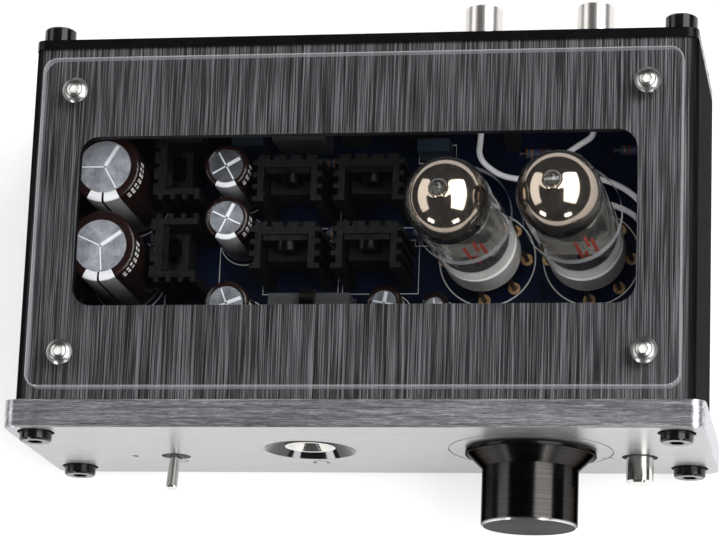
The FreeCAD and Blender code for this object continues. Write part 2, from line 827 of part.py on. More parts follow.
def volume_knob():
    body = new_body("VolumeKnob")
    profile = new_sketch(body, "YZ_Plane", "dial_x")
    rim = "-knob_gap - knob_rim_thick"
    neck = rim + " - knob_cone_depth"
    points = [
        ("-knob_gap", "shaft_radius"),
        ("-knob_gap", "knob_rim_radius"),
        (rim, "knob_rim_radius"),
        (rim, "knob_cone_back"),
        (neck, "knob_radius"),
        ("knob_edge - knob_reach", "knob_radius"),
        ("-knob_reach", "knob_radius - knob_edge"),
        ("-knob_reach", "0"),
        ("-knob_bore_end", "0"),
        ("-knob_bore_end", "shaft_radius"),
    ]
    draw_outline(profile, [(y, "dial_height + " + radius) for y, radius in points])
    spin = new_sketch(body, "YZ_Plane", "dial_x")
    axis = spin.addGeometry(Part.LineSegment(FreeCAD.Vector(0, 1, 0), FreeCAD.Vector(9, 1, 0)))
    spin.addConstraint(Sketcher.Constraint("Horizontal", axis))
    pin_point(spin, axis, 1, "-knob_reach", "dial_height")
    reach = spin.addConstraint(Sketcher.Constraint("Distance", axis, 1.0))
    spin.setExpression("Constraints[%d]" % reach, formula("knob_reach"))
    turned = body.newObject("PartDesign::Revolution", "Turned")
    turned.Profile = profile
    turned.ReferenceAxis = (spin, ["Edge1"])
    doc.recompute()
    tapped = new_sketch(body, "XY_Plane", "dial_height")
    draw_circle(tapped, "dial_x", "-grub_depth", "grub_radius")
    pocket(body, tapped, "knob_rim_radius")
    publish(body, "volume_knob")


# ---------------------------------------------------------------- switches and lamp

def lead(x, y, rise, radius="lead_radius"):
    """A round lead from below the board up to a height above its top; notes its hole."""
    board_holes.append((x, y, radius))
    return rod(radius, "%s + lead_below + 0.1" % rise, (x, y, "board_top - lead_below"))


def power_switch():
    middle = "toggle_x"
    height = "low_control_height"
    low = "low_control_height - switch_height / 2"
    shell = centred_box("switch_width", "switch_depth", "switch_height",
                        (middle, "switch_front + switch_depth / 2", low))
    pins = [lead(middle, "switch_front + switch_depth / 2 + %g" % (step * BOARD_PART_SPACING),
                 low + " - board_top") for step in (-1, 0, 1)]
    publish(fuse(shell, *pins), "power_switch_body")

    bushing = rod("switch_bushing_radius", "switch_front - switch_bushing_front",
                  (middle, "switch_bushing_front", height), TURN_TO_Y)
    bore = rod("toggle_ball_radius + running_gap", "switch_front", (middle, "0", height), TURN_TO_Y)
    mouth = taper("switch_mouth_radius", "toggle_ball_radius",
                  "toggle_pivot - switch_bushing_front - 1",
                  (middle, "switch_bushing_front", height), TURN_TO_Y)
    publish(cut(bushing, bore, mouth), "power_switch_bushing")

    tilt = size("toggle_tilt")
    forward = FreeCAD.Rotation(FreeCAD.Vector(1, 0, 0), 90 - tilt)
    backward = FreeCAD.Rotation(FreeCAD.Vector(1, 0, 0), -90 - tilt)
    pivot = (middle, "toggle_pivot", height)
    blade = taper("toggle_root_radius", "toggle_tip_radius", "toggle_length", pivot, forward)
    bevel = cut(rod("2 * toggle_tip_radius", "toggle_edge", pivot, forward),
                taper("toggle_tip_radius", "toggle_tip_radius - toggle_edge", "toggle_edge",
                      pivot, forward))
    slope = math.radians(tilt)
    for axis, share in (("y", -math.cos(slope)), ("z", math.sin(slope))):
        for piece in (bevel.Base, bevel.Tool):
            start = {"y": "toggle_pivot", "z": height}[axis]
            piece.setExpression("Placement.Base." + axis,
                                formula("%s + (toggle_length - toggle_edge) * %.6f"
                                        % (start, share)))
    blade = cut(blade, bevel)
    tail = rod("toggle_tail_radius", "toggle_tail_length", pivot, backward)
    publish(fuse(ball("toggle_ball_radius", pivot), blade, tail), "power_toggle")


def source_switch():
    middle = "button_x"
    low = "low_control_height - selector_side / 2"
    shell = centred_box("selector_side", "selector_depth", "selector_side",
                        (middle, "selector_front + selector_depth / 2", low))
    hole_side = "plunger_side + 2 * plunger_gap"
    hole = centred_box(hole_side, "selector_bore", hole_side,
                       (middle, "selector_front + selector_bore / 2",
                        "low_control_height - plunger_side / 2 - plunger_gap"))
    pins = []
    for side in (-1, 1):
        for step in (-1, 0, 1):
            x = "button_x + %g" % (side * BOARD_PART_SPACING)
            y = "selector_front + selector_depth / 2 + %g" % (step * BOARD_PART_SPACING)
            pins.append(lead(x, y, low + " - board_top"))
    publish(fuse(cut(shell, hole), *pins), "source_switch_body")

    plunger_length = "plunger_back - plunger_front"
    plunger_middle = "(plunger_back + plunger_front) / 2"
    plunger_low = "low_control_height - plunger_side / 2"
    bar = centred_box("plunger_side", plunger_length, "plunger_side",
                      (middle, plunger_middle, plunger_low))
    publish(gather([bar]), "source_switch_plunger")

    front = "-button_reach"
    cap = rod("button_radius", "button_back + button_reach - button_edge",
              (middle, front + " + button_edge", "low_control_height"), TURN_TO_Y)
    bevel = taper("button_radius - button_edge", "button_radius", "button_edge",
                  (middle, front, "low_control_height"), TURN_TO_Y)
    socket = centred_box("plunger_side", plunger_length, "plunger_side",
                         (middle, plunger_middle, plunger_low))
    publish(cut(fuse(cap, bevel), socket), "source_button")


def power_led():
    height = "low_control_height"
    pipe = rod("led_hole_radius", "led_front", ("led_x", "led_recess", height), TURN_TO_Y)
    lens = rod("led_radius", "led_length", ("led_x", "led_front", height), TURN_TO_Y)
    legs = []
    for side in (-1, 1):
        x = "led_x + %g" % (side * BOARD_PART_SPACING / 2)
        behind = "led_front + led_length + led_leg_bend"
        legs.append(box("2 * lead_radius", "led_leg_bend + 0.4", "2 * lead_radius",
                        (x + " - lead_radius", "led_front + led_length - 0.05",
                         height + " - lead_radius")))
        legs.append(lead(x, behind, height + " - board_top"))
    publish(fuse(pipe, lens, *legs), "power_led")


# ---------------------------------------------------------------- headphone jack

def headphone_jack():
    middle = "jack_x"
    height = "dial_height"
    shell = centred_box("jack_width", "jack_depth", "jack_height",
                        (middle, "jack_front + jack_depth / 2", "board_top"))
    bore = rod("jack_bore_radius", "jack_bore_end - jack_front + 1",
               (middle, "jack_front - 1", height), TURN_TO_Y)
    publish(cut(shell, bore), "headphone_jack_body")

    sleeve = rod("ferrule_radius", "jack_front - ferrule_front",
                 (middle, "ferrule_front", height), TURN_TO_Y)
    passage = rod("jack_bore_radius", "jack_front", (middle, "0", height), TURN_TO_Y)
    mouth = taper("ferrule_mouth_radius", "jack_bore_radius", "ferrule_mouth_depth",
                  (middle, "ferrule_front", height), TURN_TO_Y)
    publish(cut(sleeve, passage, mouth), "headphone_jack_ferrule")

    seat = rod("bezel_radius", "bezel_depth", (middle, "0", height), TURN_TO_Y)
    cone = taper("bezel_radius - bezel_lip", "bezel_cone_radius", "bezel_depth - bezel_floor",
                 (middle, "0", height), TURN_TO_Y)
    hole = rod("ferrule_radius", "bezel_depth + 2", (middle, "-1", height), TURN_TO_Y)
    publish(cut(seat, cone, hole), "headphone_jack_bezel")

    top = "board_top + jack_height"
    strips = [centred_box("contact_strip_width", "contact_strip_length", "contact_thick",
                          ("jack_x + %d * contact_strip_x" % side,
                           "jack_front + contact_strip_y", top)) for side in (-1, 1)]
    back = "jack_front + jack_depth"
    clip = centred_box("contact_clip_width", "contact_thick", "jack_height * contact_clip_share",
                       (middle, back + " + contact_thick / 2",
                        top + " - jack_height * contact_clip_share"))
    hook = centred_box("contact_clip_width", "contact_hook_length", "contact_thick",
                       (middle, back + " - contact_hook_back", top))
    tab = rod("contact_roll_radius", "contact_clip_width",
              ("jack_x - contact_clip_width / 2", back + " - contact_roll_back",
               top + " + contact_roll_radius"), TURN_TO_X)
    publish(gather(strips + [fuse(clip, hook, tab)]), "headphone_jack_contacts")


# ---------------------------------------------------------------- rear sockets

def rca_sockets():
    face = "panel_thick + case_depth + rear_thick"
    inside = "panel_thick + case_depth"
    flange_back = face + " + rca_washer_thick"
    tip = face + " + jack_reach"
    tail = face + " - rca_neck_back"
    shells, insulators, contacts, nuts = [], [], [], []
    for x in ("rca_left_x", "rca_right_x"):
        def along(radius, start, length):
            return rod(radius, length, (x, start, "rca_height"), TURN_TO_Y)
        barrel = along("rca_barrel_radius", flange_back,
                       "jack_reach - rca_washer_thick - rca_edge")
        edge = taper("rca_barrel_radius", "rca_barrel_radius - rca_edge", "rca_edge",
                     (x, tip + " - rca_edge", "rca_height"), TURN_TO_Y)
        flange = hexagon("rca_flange_radius", "rca_flange_thick",
                         (x, flange_back, "rca_height"), TURN_TO_Y)
        neck = along("rca_neck_radius", tail, "rca_neck_back + rca_washer_thick")
        bore = along("rca_barrel_bore", tail + " - 1", "rca_neck_back + jack_reach + 2")
        shells.append(cut(fuse(barrel, edge, flange, neck), bore))
        outer = cut(along("rca_washer_radius", face, "rca_washer_thick"),
                    along("rca_neck_radius", face + " - 1", "rca_washer_thick + 2"))
        inner = cut(along("rca_washer_radius", inside + " - rca_washer_thick",
                          "rca_washer_thick"),
                    along("rca_neck_radius", inside + " - rca_washer_thick - 1",
                          "rca_washer_thick + 2"))
        core = cut(along("rca_barrel_bore", tail, "rca_neck_back + jack_reach - rca_recess"),
                   along("rca_contact_radius", tail + " - 1", "rca_neck_back + jack_reach + 2"))
        insulators += [outer, inner, core]
        pin = along("rca_contact_radius", tail,
                    "rca_neck_back + jack_reach - rca_recess")
        socket = along("rca_contact_bore", tip + " - jack_reach", "jack_reach + 1")
        cup = along("rca_contact_bore", tail + " - rca_tail", "rca_tail + 0.5")
        contacts.append(fuse(cut(pin, socket), cup))
        nut = hexagon("rca_flange_radius", "rca_nut_thick",
                      (x, inside + " - rca_washer_thick - rca_nut_thick", "rca_height"),
                      TURN_TO_Y)
        nuts.append(cut(nut, along("rca_neck_radius",
                                   inside + " - rca_washer_thick - rca_nut_thick - 1",
                                   "rca_nut_thick + 2")))
    publish(gather(shells), "rca_shells")
    publish(gather(insulators), "rca_insulators")
    publish(gather(contacts), "rca_contacts")
    publish(gather(nuts), "rca_nuts")


def usb_socket():
    mouth = "panel_thick + case_depth + rear_thick + usb_proud"
    middle = "(%s - usb_depth / 2)" % mouth
    shell = centred_box("usb_width", "usb_depth", "usb_height", ("usb_x", middle, "board_top"))
    hollow = centred_box("usb_width - 2 * usb_wall", "usb_depth", "usb_height - 2 * usb_wall",
                         ("usb_x", middle + " + usb_wall", "board_top + usb_wall"))
    publish(cut(shell, hollow), "usb_socket_shell")

    filling = centred_box("usb_width - 2 * usb_wall", "usb_depth - usb_wall - usb_lip",
                          "usb_height - 2 * usb_wall",
                          ("usb_x", middle + " + (usb_wall - usb_lip) / 2",
                           "board_top + usb_wall"))
    low = "board_top + (usb_height - usb_opening_height) / 2"
    opening = centred_box("usb_opening_width", "usb_opening_depth", "usb_opening_height",
                          ("usb_x", mouth + " - usb_opening_depth / 2", low))
    tongue = centred_box("usb_tongue_width", "usb_opening_depth", "usb_tongue_height",
                         ("usb_x", mouth + " - usb_opening_depth / 2 - usb_tongue_back",
                          "board_top + (usb_height - usb_tongue_height) / 2"))
    publish(fuse(cut(filling, opening), tongue), "usb_socket_insert")


def power_inlet():
    mouth = "panel_thick + case_depth + rear_thick + usb_proud"
    height = "board_top + inlet_bore_height"
    shell = centred_box("inlet_width", "inlet_depth", "inlet_height",
                        ("inlet_x", mouth + " - inlet_depth / 2", "board_top"))
    bore = rod("inlet_bore_radius", "inlet_bore_depth + 1",
               ("inlet_x", mouth + " - inlet_bore_depth", height), TURN_TO_Y)
    publish(cut(shell, bore), "power_inlet_body")
    pin = rod("inlet_pin_radius", "inlet_bore_depth - 1",
              ("inlet_x", mouth + " - inlet_bore_depth", height), TURN_TO_Y)
    publish(gather([pin]), "power_inlet_pin")


# ---------------------------------------------------------------- tubes

def pin_places(x, radius):
    """The seven pin places of a miniature tube, from the front round to the left."""
    places = []
    for number in range(SOCKET_PINS):
        angle = math.radians(PIN_ANGLE * number - 90)
        places.append(("%s + %s * %.6f" % (x, radius, math.cos(angle)),
                       "tube_y + %s * %.6f" % (radius, math.sin(angle)), math.degrees(angle)))
    return places


def tube_socket(side, x):
    above = "board_top + socket_bottom"
    straight = "socket_top - socket_bottom - socket_edge"
    ceramic = rod("socket_radius", straight, (x, "tube_y", above))
    shoulder = taper("socket_radius", "socket_radius - socket_edge", "socket_edge",
                     (x, "tube_y", "%s + %s" % (above, straight)))
    holes = [rod("socket_centre_hole", "socket_top", (x, "tube_y", "board_top + 1"))]
    for px, py, _ in pin_places(x, "pin_circle"):
        holes.append(rod("pin_hole_radius", "socket_top", (px, py, "board_top + 1")))
        holes.append(rod("clip_hole_radius", "clip_top - 1", (px, py, "board_top + 1")))
    publish(cut(fuse(ceramic, shoulder), *holes), side + "_socket_ceramic")

    contacts = []
    for (px, py, angle), (ex, ey, _) in zip(pin_places(x, "pin_circle"),
                                            pin_places(x, "eyelet_circle")):
        clip = cut(rod("clip_radius", "clip_top - leg_bottom - 0.1",
                       (px, py, "board_top + leg_bottom")),
                   rod("pin_radius", "clip_top", (px, py, "board_top + clip_bottom")))
        turn = FreeCAD.Rotation(FreeCAD.Vector(0, 0, 1), angle)
        strip = doc.addObject("Part::Box", "Leg")
        bind(strip, Length="eyelet_circle - pin_circle", Width="leg_width", Height="leg_thick")
        across = math.radians(angle)
        put(strip, ("%s + leg_width / 2 * %.6f" % (px, math.sin(across)),
                    "%s - leg_width / 2 * %.6f" % (py, math.cos(across)),
                    "board_top + leg_bottom"), turn)
        stem = rod("pin_radius", "leg_bottom + leg_thick + lead_below",
                   (ex, ey, "board_top - lead_below"))
        contacts.append(fuse(clip, strip, stem))
    publish(gather(contacts), side + "_socket_contacts")


def board_eyelets():
    eyelets = []
    for x in ("left_tube_x", "right_tube_x"):
        for ex, ey, _ in pin_places(x, "eyelet_circle"):
            barrel = rod("eyelet_radius", "board_thick", (ex, ey, "board_top - board_thick"))
            top = rod("eyelet_flange", "eyelet_flange_thick", (ex, ey, "board_top"))
            under = rod("eyelet_flange", "eyelet_flange_thick",
                        (ex, ey, "board_top - board_thick - eyelet_flange_thick"))
            bore = rod("eyelet_bore", "board_thick + 2",
                       (ex, ey, "board_top - board_thick - 1"))
            eyelets.append(cut(fuse(barrel, top, under), bore))
            board_holes.append((ex, ey, "eyelet_radius"))
    publish(gather(eyelets), "board_eyelets")


def bulb_profile(radius, low, corner, dome, tip, blend, straight):
    """Half section of a bulb: foot, side, round dome and sealed tip, as a closed face."""
    reach = math.sqrt((radius + blend) ** 2 - (tip + blend) ** 2)
    pull = radius / (radius + blend)
    crown = FreeCAD.Vector((tip + blend) * pull, 0, dome + reach * pull)
    neck = FreeCAD.Vector(tip, 0, dome + reach)
    collar = neck + FreeCAD.Vector(0, 0, straight)
    apex = FreeCAD.Vector(0, 0, collar.z + tip)
    blend_centre = FreeCAD.Vector(tip + blend, 0, dome + reach)
    toward = (crown - blend_centre).normalize() + FreeCAD.Vector(-1, 0, 0)
    blend_middle = blend_centre + toward.normalize() * blend
    dome_centre = FreeCAD.Vector(0, 0, dome)
    dome_side = FreeCAD.Vector(radius, 0, dome)
    dome_middle = dome_centre + ((dome_side - dome_centre) + (crown - dome_centre)
                                 ).normalize() * radius
    slant = math.sqrt(0.5)
    foot = FreeCAD.Vector(0, 0, low)
    heel = FreeCAD.Vector(radius - corner, 0, low)
    side = FreeCAD.Vector(radius, 0, low + corner)
    heel_middle = FreeCAD.Vector(radius - corner + corner * slant, 0,
                                 low + corner - corner * slant)
    tip_middle = FreeCAD.Vector(tip * slant, 0, collar.z + tip * slant)
    edges = [
        Part.LineSegment(foot, heel),
        Part.Arc(heel, heel_middle, side),
        Part.LineSegment(side, dome_side),
        Part.Arc(dome_side, dome_middle, crown),
        Part.Arc(crown, blend_middle, neck),
        Part.LineSegment(neck, collar),
        Part.Arc(collar, tip_middle, apex),
        Part.LineSegment(apex, foot),
    ]
    return Part.Face(Part.Wire([edge.toShape() for edge in edges]))


def tube(side, x, lean_x, lean_y):
    """A tube on its pivot, the top of its socket; it leans that far towards X and Y."""
    lean = FreeCAD.Rotation(FreeCAD.Vector(-lean_y, lean_x, 0), math.hypot(lean_x, lean_y))
    pivot = (x, "tube_y", "board_top + socket_top")

    def publish_leaning(thing, name):
        lifted = gather([thing])
        put(thing, ("0", "0", "lean_lift"))
        publish(lifted, side + name, lean, pivot)

    radius = size("glass_radius")
    wall = size("glass_wall")
    low = size("socket_top")
    dome = size("glass_dome_centre")
    axis = (FreeCAD.Vector(), FreeCAD.Vector(0, 0, 1), 360)
    outer = bulb_profile(radius, low, size("glass_base_corner"), dome,
                         size("glass_tip_radius"), size("glass_tip_blend"),
                         size("glass_tip_straight")).revolve(*axis)
    inner = bulb_profile(radius - wall, low + size("glass_base"), size("glass_base_corner"), dome,
                         size("glass_tip_radius") - 0.7 * wall,
                         size("glass_tip_blend") + 0.2 * wall,
                         size("glass_tip_straight")).revolve(*axis)
    glass = doc.addObject("Part::Feature", "Envelope")
    glass.Shape = outer.cut(inner)
    put(glass, (x, "tube_y", "board_top"))
    holes = [rod("pin_radius", "glass_base + 2", (px, py, "board_top + socket_top - 1"))
             for px, py, _ in pin_places(x, "pin_circle")]
    publish_leaning(cut(glass, *holes), "_tube_envelope")

    pins = [rod("pin_radius", "pin_length + glass_base + pin_rise",
                (px, py, "board_top + socket_top - pin_length"))
            for px, py, _ in pin_places(x, "pin_circle")]
    publish_leaning(gather(pins), "_tube_pins")

    bottom = "board_top + anode_bottom"
    shell = centred_box("anode_width - anode_depth", "anode_depth", "anode_height",
                        (x, "tube_y", bottom))
    ends = [rod("anode_depth / 2", "anode_height",
                (x + sign + "(anode_width - anode_depth) / 2", "tube_y", bottom))
            for sign in (" + ", " - ")]
    fins = centred_box("anode_width + 2 * anode_fin", "2 * anode_wall", "anode_height",
                       (x, "tube_y", bottom))
    inside = centred_box("anode_width - anode_depth", "anode_depth - 2 * anode_wall",
                         "anode_height", (x, "tube_y", bottom))
    inside_ends = [rod("anode_depth / 2 - anode_wall", "anode_height",
                       (x + sign + "(anode_width - anode_depth) / 2", "tube_y", bottom))
                   for sign in (" + ", " - ")]
    publish_leaning(cut(fuse(shell, fins, *ends), inside, *inside_ends), "_tube_anode")

    rods = [(x + sign + "support_offset", "tube_y", sign) for sign in (" + ", " - ")]
    micas = []
    for level in (bottom + " - mica_thick", bottom + " + anode_height"):
        disc = rod("mica_radius", "mica_thick", (x, "tube_y", level))
        flats = [centred_box("mica_radius * 2", "mica_radius", "mica_thick",
                             (x, "tube_y + %s * mica_radius * 1.2" % sign, level))
                 for sign in ("1", "-1")]
        slots = [rod("support_radius", "mica_thick + 2", (rx, ry, level + " - 1"))
                 for rx, ry, _ in rods]
        micas.append(cut(disc, *(flats + slots)))
    publish_leaning(gather(micas), "_tube_micas")

    cathode = rod("support_radius * 2", "anode_height", (x, "tube_y", bottom))
    pin_top = "(socket_top + glass_base + pin_rise)"
    posts = [rod("support_radius", "anode_bottom + anode_height + 2 - " + pin_top,
                 (rx, ry, "board_top + " + pin_top)) for rx, ry, _ in rods]
    stem = rod("support_radius", "getter_height - anode_bottom - anode_height - mica_thick",
               (x, "tube_y", bottom + " + anode_height + mica_thick"))
    getter = ring("getter_ring_radius", "getter_wire_radius",
                  (x, "tube_y", "board_top + getter_height"))
    bar = rod("support_radius", "2 * getter_ring_radius",
              (x + " - getter_ring_radius", "tube_y", "board_top + getter_height"), TURN_TO_X)
    publish_leaning(gather([cathode] + posts + [fuse(stem, getter, bar)]), "_tube_supports")


# ---------------------------------------------------------------- power devices

def heat_sink(x, y, turn):
    """A U of extruded aluminium with fins outside; it opens towards -Y before its turn."""
    core = "(sink_width - 2 * sink_fin_reach)"
    deep = "(sink_depth - sink_fin_reach)"
    back = "(sink_depth / 2 - sink_fin_reach)"
    shell = box(core, deep, "sink_height", ("-%s / 2" % core, "-sink_depth / 2", "0"))
    inside = box(core + " - 2 * sink_wall", deep, "sink_height",
                 ("-%s / 2 + sink_wall" % core, "-sink_depth / 2 - sink_back_wall", "0"))
    fins = []
    for number in range(4):
        along = "-sink_depth / 2 + (%s - sink_fin_thick) * %g / 3" % (deep, number)
        fins.append(box("sink_width", "sink_fin_thick", "sink_height",
                        ("-sink_width / 2", along, "0")))
        across = "-%s / 2 + (%s - 2.4 * sink_fin_thick) * %g / 3" % (core, core, number)
        fins.append(box("2.4 * sink_fin_thick", "sink_fin_reach + 0.1", "sink_height",
                        (across, back + " - 0.1", "0")))
    tapped = rod("grub_radius", "sink_depth", ("0", "0", "device_screw_height"), TURN_TO_Y)
    return put(cut(fuse(shell, *fins), inside, tapped), (x, y, "board_top"), turn)


def power_device(x, y, turn):
    """A power transistor standing in its heat sink, with its metal tab and its screw."""
    wall = "(sink_depth / 2 - sink_fin_reach - sink_back_wall)"
    tab_front = wall + " - device_tab_thick"
    body_front = wall + " - device_body_thick"
    body = box("device_width", "device_body_thick - device_tab_thick", "device_body_height",
               ("-device_width / 2", body_front, "device_lift"))
    plate = box("device_width", "device_tab_thick", "device_tab_height",
                ("-device_width / 2", tab_front, "device_lift"))
    legs = [rod("device_lead_radius", "device_lift + lead_below",
                ("%g * device_lead_pitch" % step, tab_front + " - device_lead_inset", "-lead_below"))
            for step in (-1, 0, 1)]
    feet = [rod("device_lead_radius", "device_lead_inside",
                ("%g * device_lead_pitch" % step, tab_front + " - device_lead_inset",
                 "device_lift"))
            for step in (-1, 0, 1)]
    hole = rod("grub_radius", "device_tab_thick + 2",
               ("0", tab_front + " - 1", "device_screw_height"), TURN_TO_Y)
    head = rod("device_head_radius", "device_head_height",
               ("0", tab_front + " - device_head_height", "device_screw_height"), TURN_TO_Y)
    shank = rod("grub_radius", "device_tab_thick + sink_back_wall",
                ("0", tab_front, "device_screw_height"), TURN_TO_Y)
    recess = hexagon("grub_radius * 0.8", "device_head_height / 2",
                     ("0", tab_front + " - device_head_height", "device_screw_height"),
                     TURN_TO_Y)
    at = (x, y, "board_top")
    package = put(cut(body, *feet), at, turn)
    metal = put(gather([cut(plate, hole)] + legs_into_body(legs)), at, turn)
    screw = put(cut(fuse(head, shank), recess), at, turn)
    for step in (-1, 0, 1):
        along = "%g * device_lead_pitch" % step
        if turn is NO_TURN:
            board_holes.append((x + " + " + along,
                                y + " + " + tab_front + " - device_lead_inset",
                                "device_lead_radius"))
        else:
            board_holes.append((x + " - (" + tab_front + " - device_lead_inset)",
                                y + " + " + along, "device_lead_radius"))
    return package, metal, screw


def legs_into_body(legs):
    """Lengthen each leg by the part that reaches up into the package."""
    for leg in legs:
        bind(leg, Height="device_lift + lead_below + device_lead_inside")
    return legs


def power_devices():
    turned = FreeCAD.Rotation(FreeCAD.Vector(0, 0, 1), 90)
    places = [(x, y, NO_TURN) for x in ("sink_left_x", "sink_right_x")
              for y in ("sink_back_y", "sink_front_y")]
    places += [("regulator_sink_x", y, turned) for y in ("regulator_back_y",
                                                         "regulator_front_y")]
    publish(gather([heat_sink(*place) for place in places]), "heat_sinks")
    made = [power_device(*place) for place in places]
    for number, name in enumerate(("transistor_bodies", "transistor_tabs",
                                   "transistor_screws")):
        publish(gather([item[number] for item in made]), name)


# ---------------------------------------------------------------- board parts

def capacitor(x, y, radius, height, vents, start):
    """An aluminium can with a scored vent on top, and the plastic sleeve round it."""
    top = "board_top + " + height
    can_radius = "%s - sleeve_thick" % radius
    can = rod(can_radius, height + " - can_edge", (x, y, "board_top"))
    crown = taper(can_radius, can_radius + " - can_edge", "can_edge",
                  (x, y, top + " - can_edge"))
    scores = []
    for number in range(vents):
        turn = FreeCAD.Rotation(FreeCAD.Vector(0, 0, 1), start + number * 360.0 / vents)
        score = doc.addObject("Part::Box", "Score")
        bind(score, Length="(%s) * vent_share" % radius, Width="vent_width",
             Height="vent_depth * 2")
        across = math.radians(start + number * 360.0 / vents)
        put(score, ("%s + vent_width / 2 * %.6f" % (x, math.sin(across)),
                    "%s - vent_width / 2 * %.6f" % (y, math.cos(across)),
                    top + " - vent_depth"), turn)
        scores.append(score)
    offset = "(%s) * lead_spacing_part" % radius
    leads = []
    for sign in (" + ", " - "):
        lead_x = x + sign + offset
        board_holes.append((lead_x, y, "lead_radius"))
        leads.append(rod("lead_radius", "lead_below + 0.5",
                         (lead_x, y, "board_top - lead_below")))
    can_solid = fuse(cut(fuse(can, crown), *scores), *leads)
    sleeve = cut(fuse(rod(radius, height + " - can_edge", (x, y, "board_top")),
                      taper(radius, can_radius + " - can_edge + sleeve_thick", "can_edge",
                            (x, y, top + " - can_edge"))),
                 can_cavity(x, y, radius, height))
    return can_solid, sleeve


def can_cavity(x, y, radius, height):
    """The space that the can fills inside its sleeve, open at the top."""
    can_radius = "%s - sleeve_thick" % radius
    straight = rod(can_radius, height + " - can_edge + 1", (x, y, "board_top - 1"))
    crown = taper(can_radius, can_radius + " - can_edge", "can_edge",
                  (x, y, "board_top + %s - can_edge" % height))
    mouth = rod(can_radius + " - can_edge", "1", (x, y, "board_top + %s - 0.5" % height))
    return fuse(straight, crown, mouth)


def capacitors():
    reservoirs = [capacitor("reservoir_x", y, "reservoir_radius", "reservoir_height", 3, turn)
                  for y, turn in zip(("reservoir_back_y", "reservoir_front_y"), RESERVOIR_TURNS)]
    kinds = [(place, "filter_radius", "filter_height") for place in FILTER_PLACES]
    kinds += [(COUPLING_PLACE, "coupling_radius", "coupling_height"),
              (BYPASS_PLACE, "bypass_radius", "bypass_height")]
    filters = [capacitor(str(x), str(y), radius, height, 4, turn)
               for (x, y, turn), radius, height in kinds]
    for made, name in ((reservoirs, "reservoir_capacitor"), (filters, "filter_capacitor")):
        publish(gather([pair[0] for pair in made]), name + "_cans")
        publish(gather([pair[1] for pair in made]), name + "_sleeves")


def film_capacitors():
    blocks = []
    for x, y in FILM_PLACES:
        body = centred_box("film_length", "film_width", "film_height",
                           (str(x), str(y), "board_top + film_lift"))
        legs = [lead("%g" % (x + side * BOARD_PART_SPACING), str(y), "film_lift + 0.6")
                for side in (-1, 1)]
        blocks.append(fuse(body, *legs))
    publish(gather(blocks), "film_capacitors")


def resistors():
    """Axial resistors lying on the board, each with its two bent legs."""
    made = []
    height = "board_top + resistor_lift"
    for x, y in RESISTOR_PLACES:
        body = rod("resistor_radius", "resistor_length",
                   ("%s - resistor_length / 2" % x, str(y), height), TURN_TO_X)
        wire = rod("resistor_wire_radius", "2 * (resistor_span + 0.3)",
                   ("%s - resistor_span - 0.3" % x, str(y), height), TURN_TO_X)
        legs = [lead("%s + %d * resistor_span" % (x, side), str(y), "resistor_lift")
                for side in (-1, 1)]
        made.append(fuse(body, wire, *legs))
    publish(gather(made), "resistors")


def integrated_circuits():
    """Surface-mount chips: the audio converter, its receiver and two amplifiers."""
    chips = []
    for x, y, length, width in CHIP_PLACES:
        body = centred_box(str(length), str(width), "chip_height",
                           (str(x), str(y), "board_top + chip_lift"))
        feet = centred_box("%g * chip_foot_share" % length, "%g + 2 * chip_foot_reach" % width,
                           "chip_foot_thick", (str(x), str(y), "board_top"))
        chips.append(fuse(body, feet))
    publish(gather(chips), "integrated_circuits")


def main_board():
    plate = box("2 * board_half_width", "board_depth", "board_thick",
                ("-board_half_width", "board_front", "board_top - board_thick"))
    holes = [rod(radius, "board_thick + 2", (x, y, "board_top - board_thick - 1"))
             for x, y, radius in board_holes]
    publish(cut(plate, *holes), "main_board")


# ---------------------------------------------------------------- wires

def wire_path(points, share=0.45):
    """Straight runs joined by tangent arcs, as one wire, and the arcs' radii."""
    edges = []
    radii = []
    start = points[0]
    for before, corner, after in zip(points, points[1:], points[2:]):
        back = (before - corner)
        ahead = (after - corner)
        reach = share * min(back.Length, ahead.Length)
        turn = math.pi - back.getAngle(ahead)
        radii.append(reach / math.tan(turn / 2))
        enter = corner + back.normalize() * reach
        leave = corner + ahead.normalize() * reach
        inward = (back + ahead).normalize()
        depth = radii[-1] / math.cos(turn / 2) - radii[-1]
        edges.append(Part.LineSegment(start, enter).toShape())
        edges.append(Part.Arc(enter, corner + inward * depth, leave).toShape())
        start = leave
    edges.append(Part.LineSegment(start, points[-1]).toShape())
    return Part.Wire(edges), radii


def tube_along(points, radius):
    path, radii = wire_path(points)
    first = path.Edges[0]
    section = Part.Wire(Part.makeCircle(radius, points[0], first.tangentAt(first.FirstParameter)))
    solid = path.makePipeShell([section], True, False)
    expected = math.pi * radius ** 2 * path.Length
    print("wire: smallest radius %.2f, volume %.3f of %.3f" % (min(radii), solid.Volume, expected))
    return solid


def signal_wires():
    """Two insulated wires from the input sockets round behind the tubes to the selector."""
    board = size("board_top")
    lift = board + size("wire_height")
    back = (size("panel_thick") + size("case_depth") + size("rear_thick")
            - size("rca_neck_back") - size("rca_tail"))
    high = size("rca_height")
    made = []
    for socket, way in (("rca_left_x", LEFT_WIRE_WAY), ("rca_right_x", RIGHT_WIRE_WAY)):
        route = [(size(socket), back, high), (size(socket), back - size("wire_straight"), high)]
        route += [(x, y, lift + rise) for x, y, rise in way]
        last_x, last_y, _ = way[-1]
        route.append((last_x, last_y, board))
        wire = doc.addObject("Part::Feature", "Wire")
        wire.Shape = tube_along([FreeCAD.Vector(*point) for point in route],
                                size("wire_radius"))
        made.append(wire)
    publish(gather(made), "signal_wires")


# ---------------------------------------------------------------- the whole amplifier

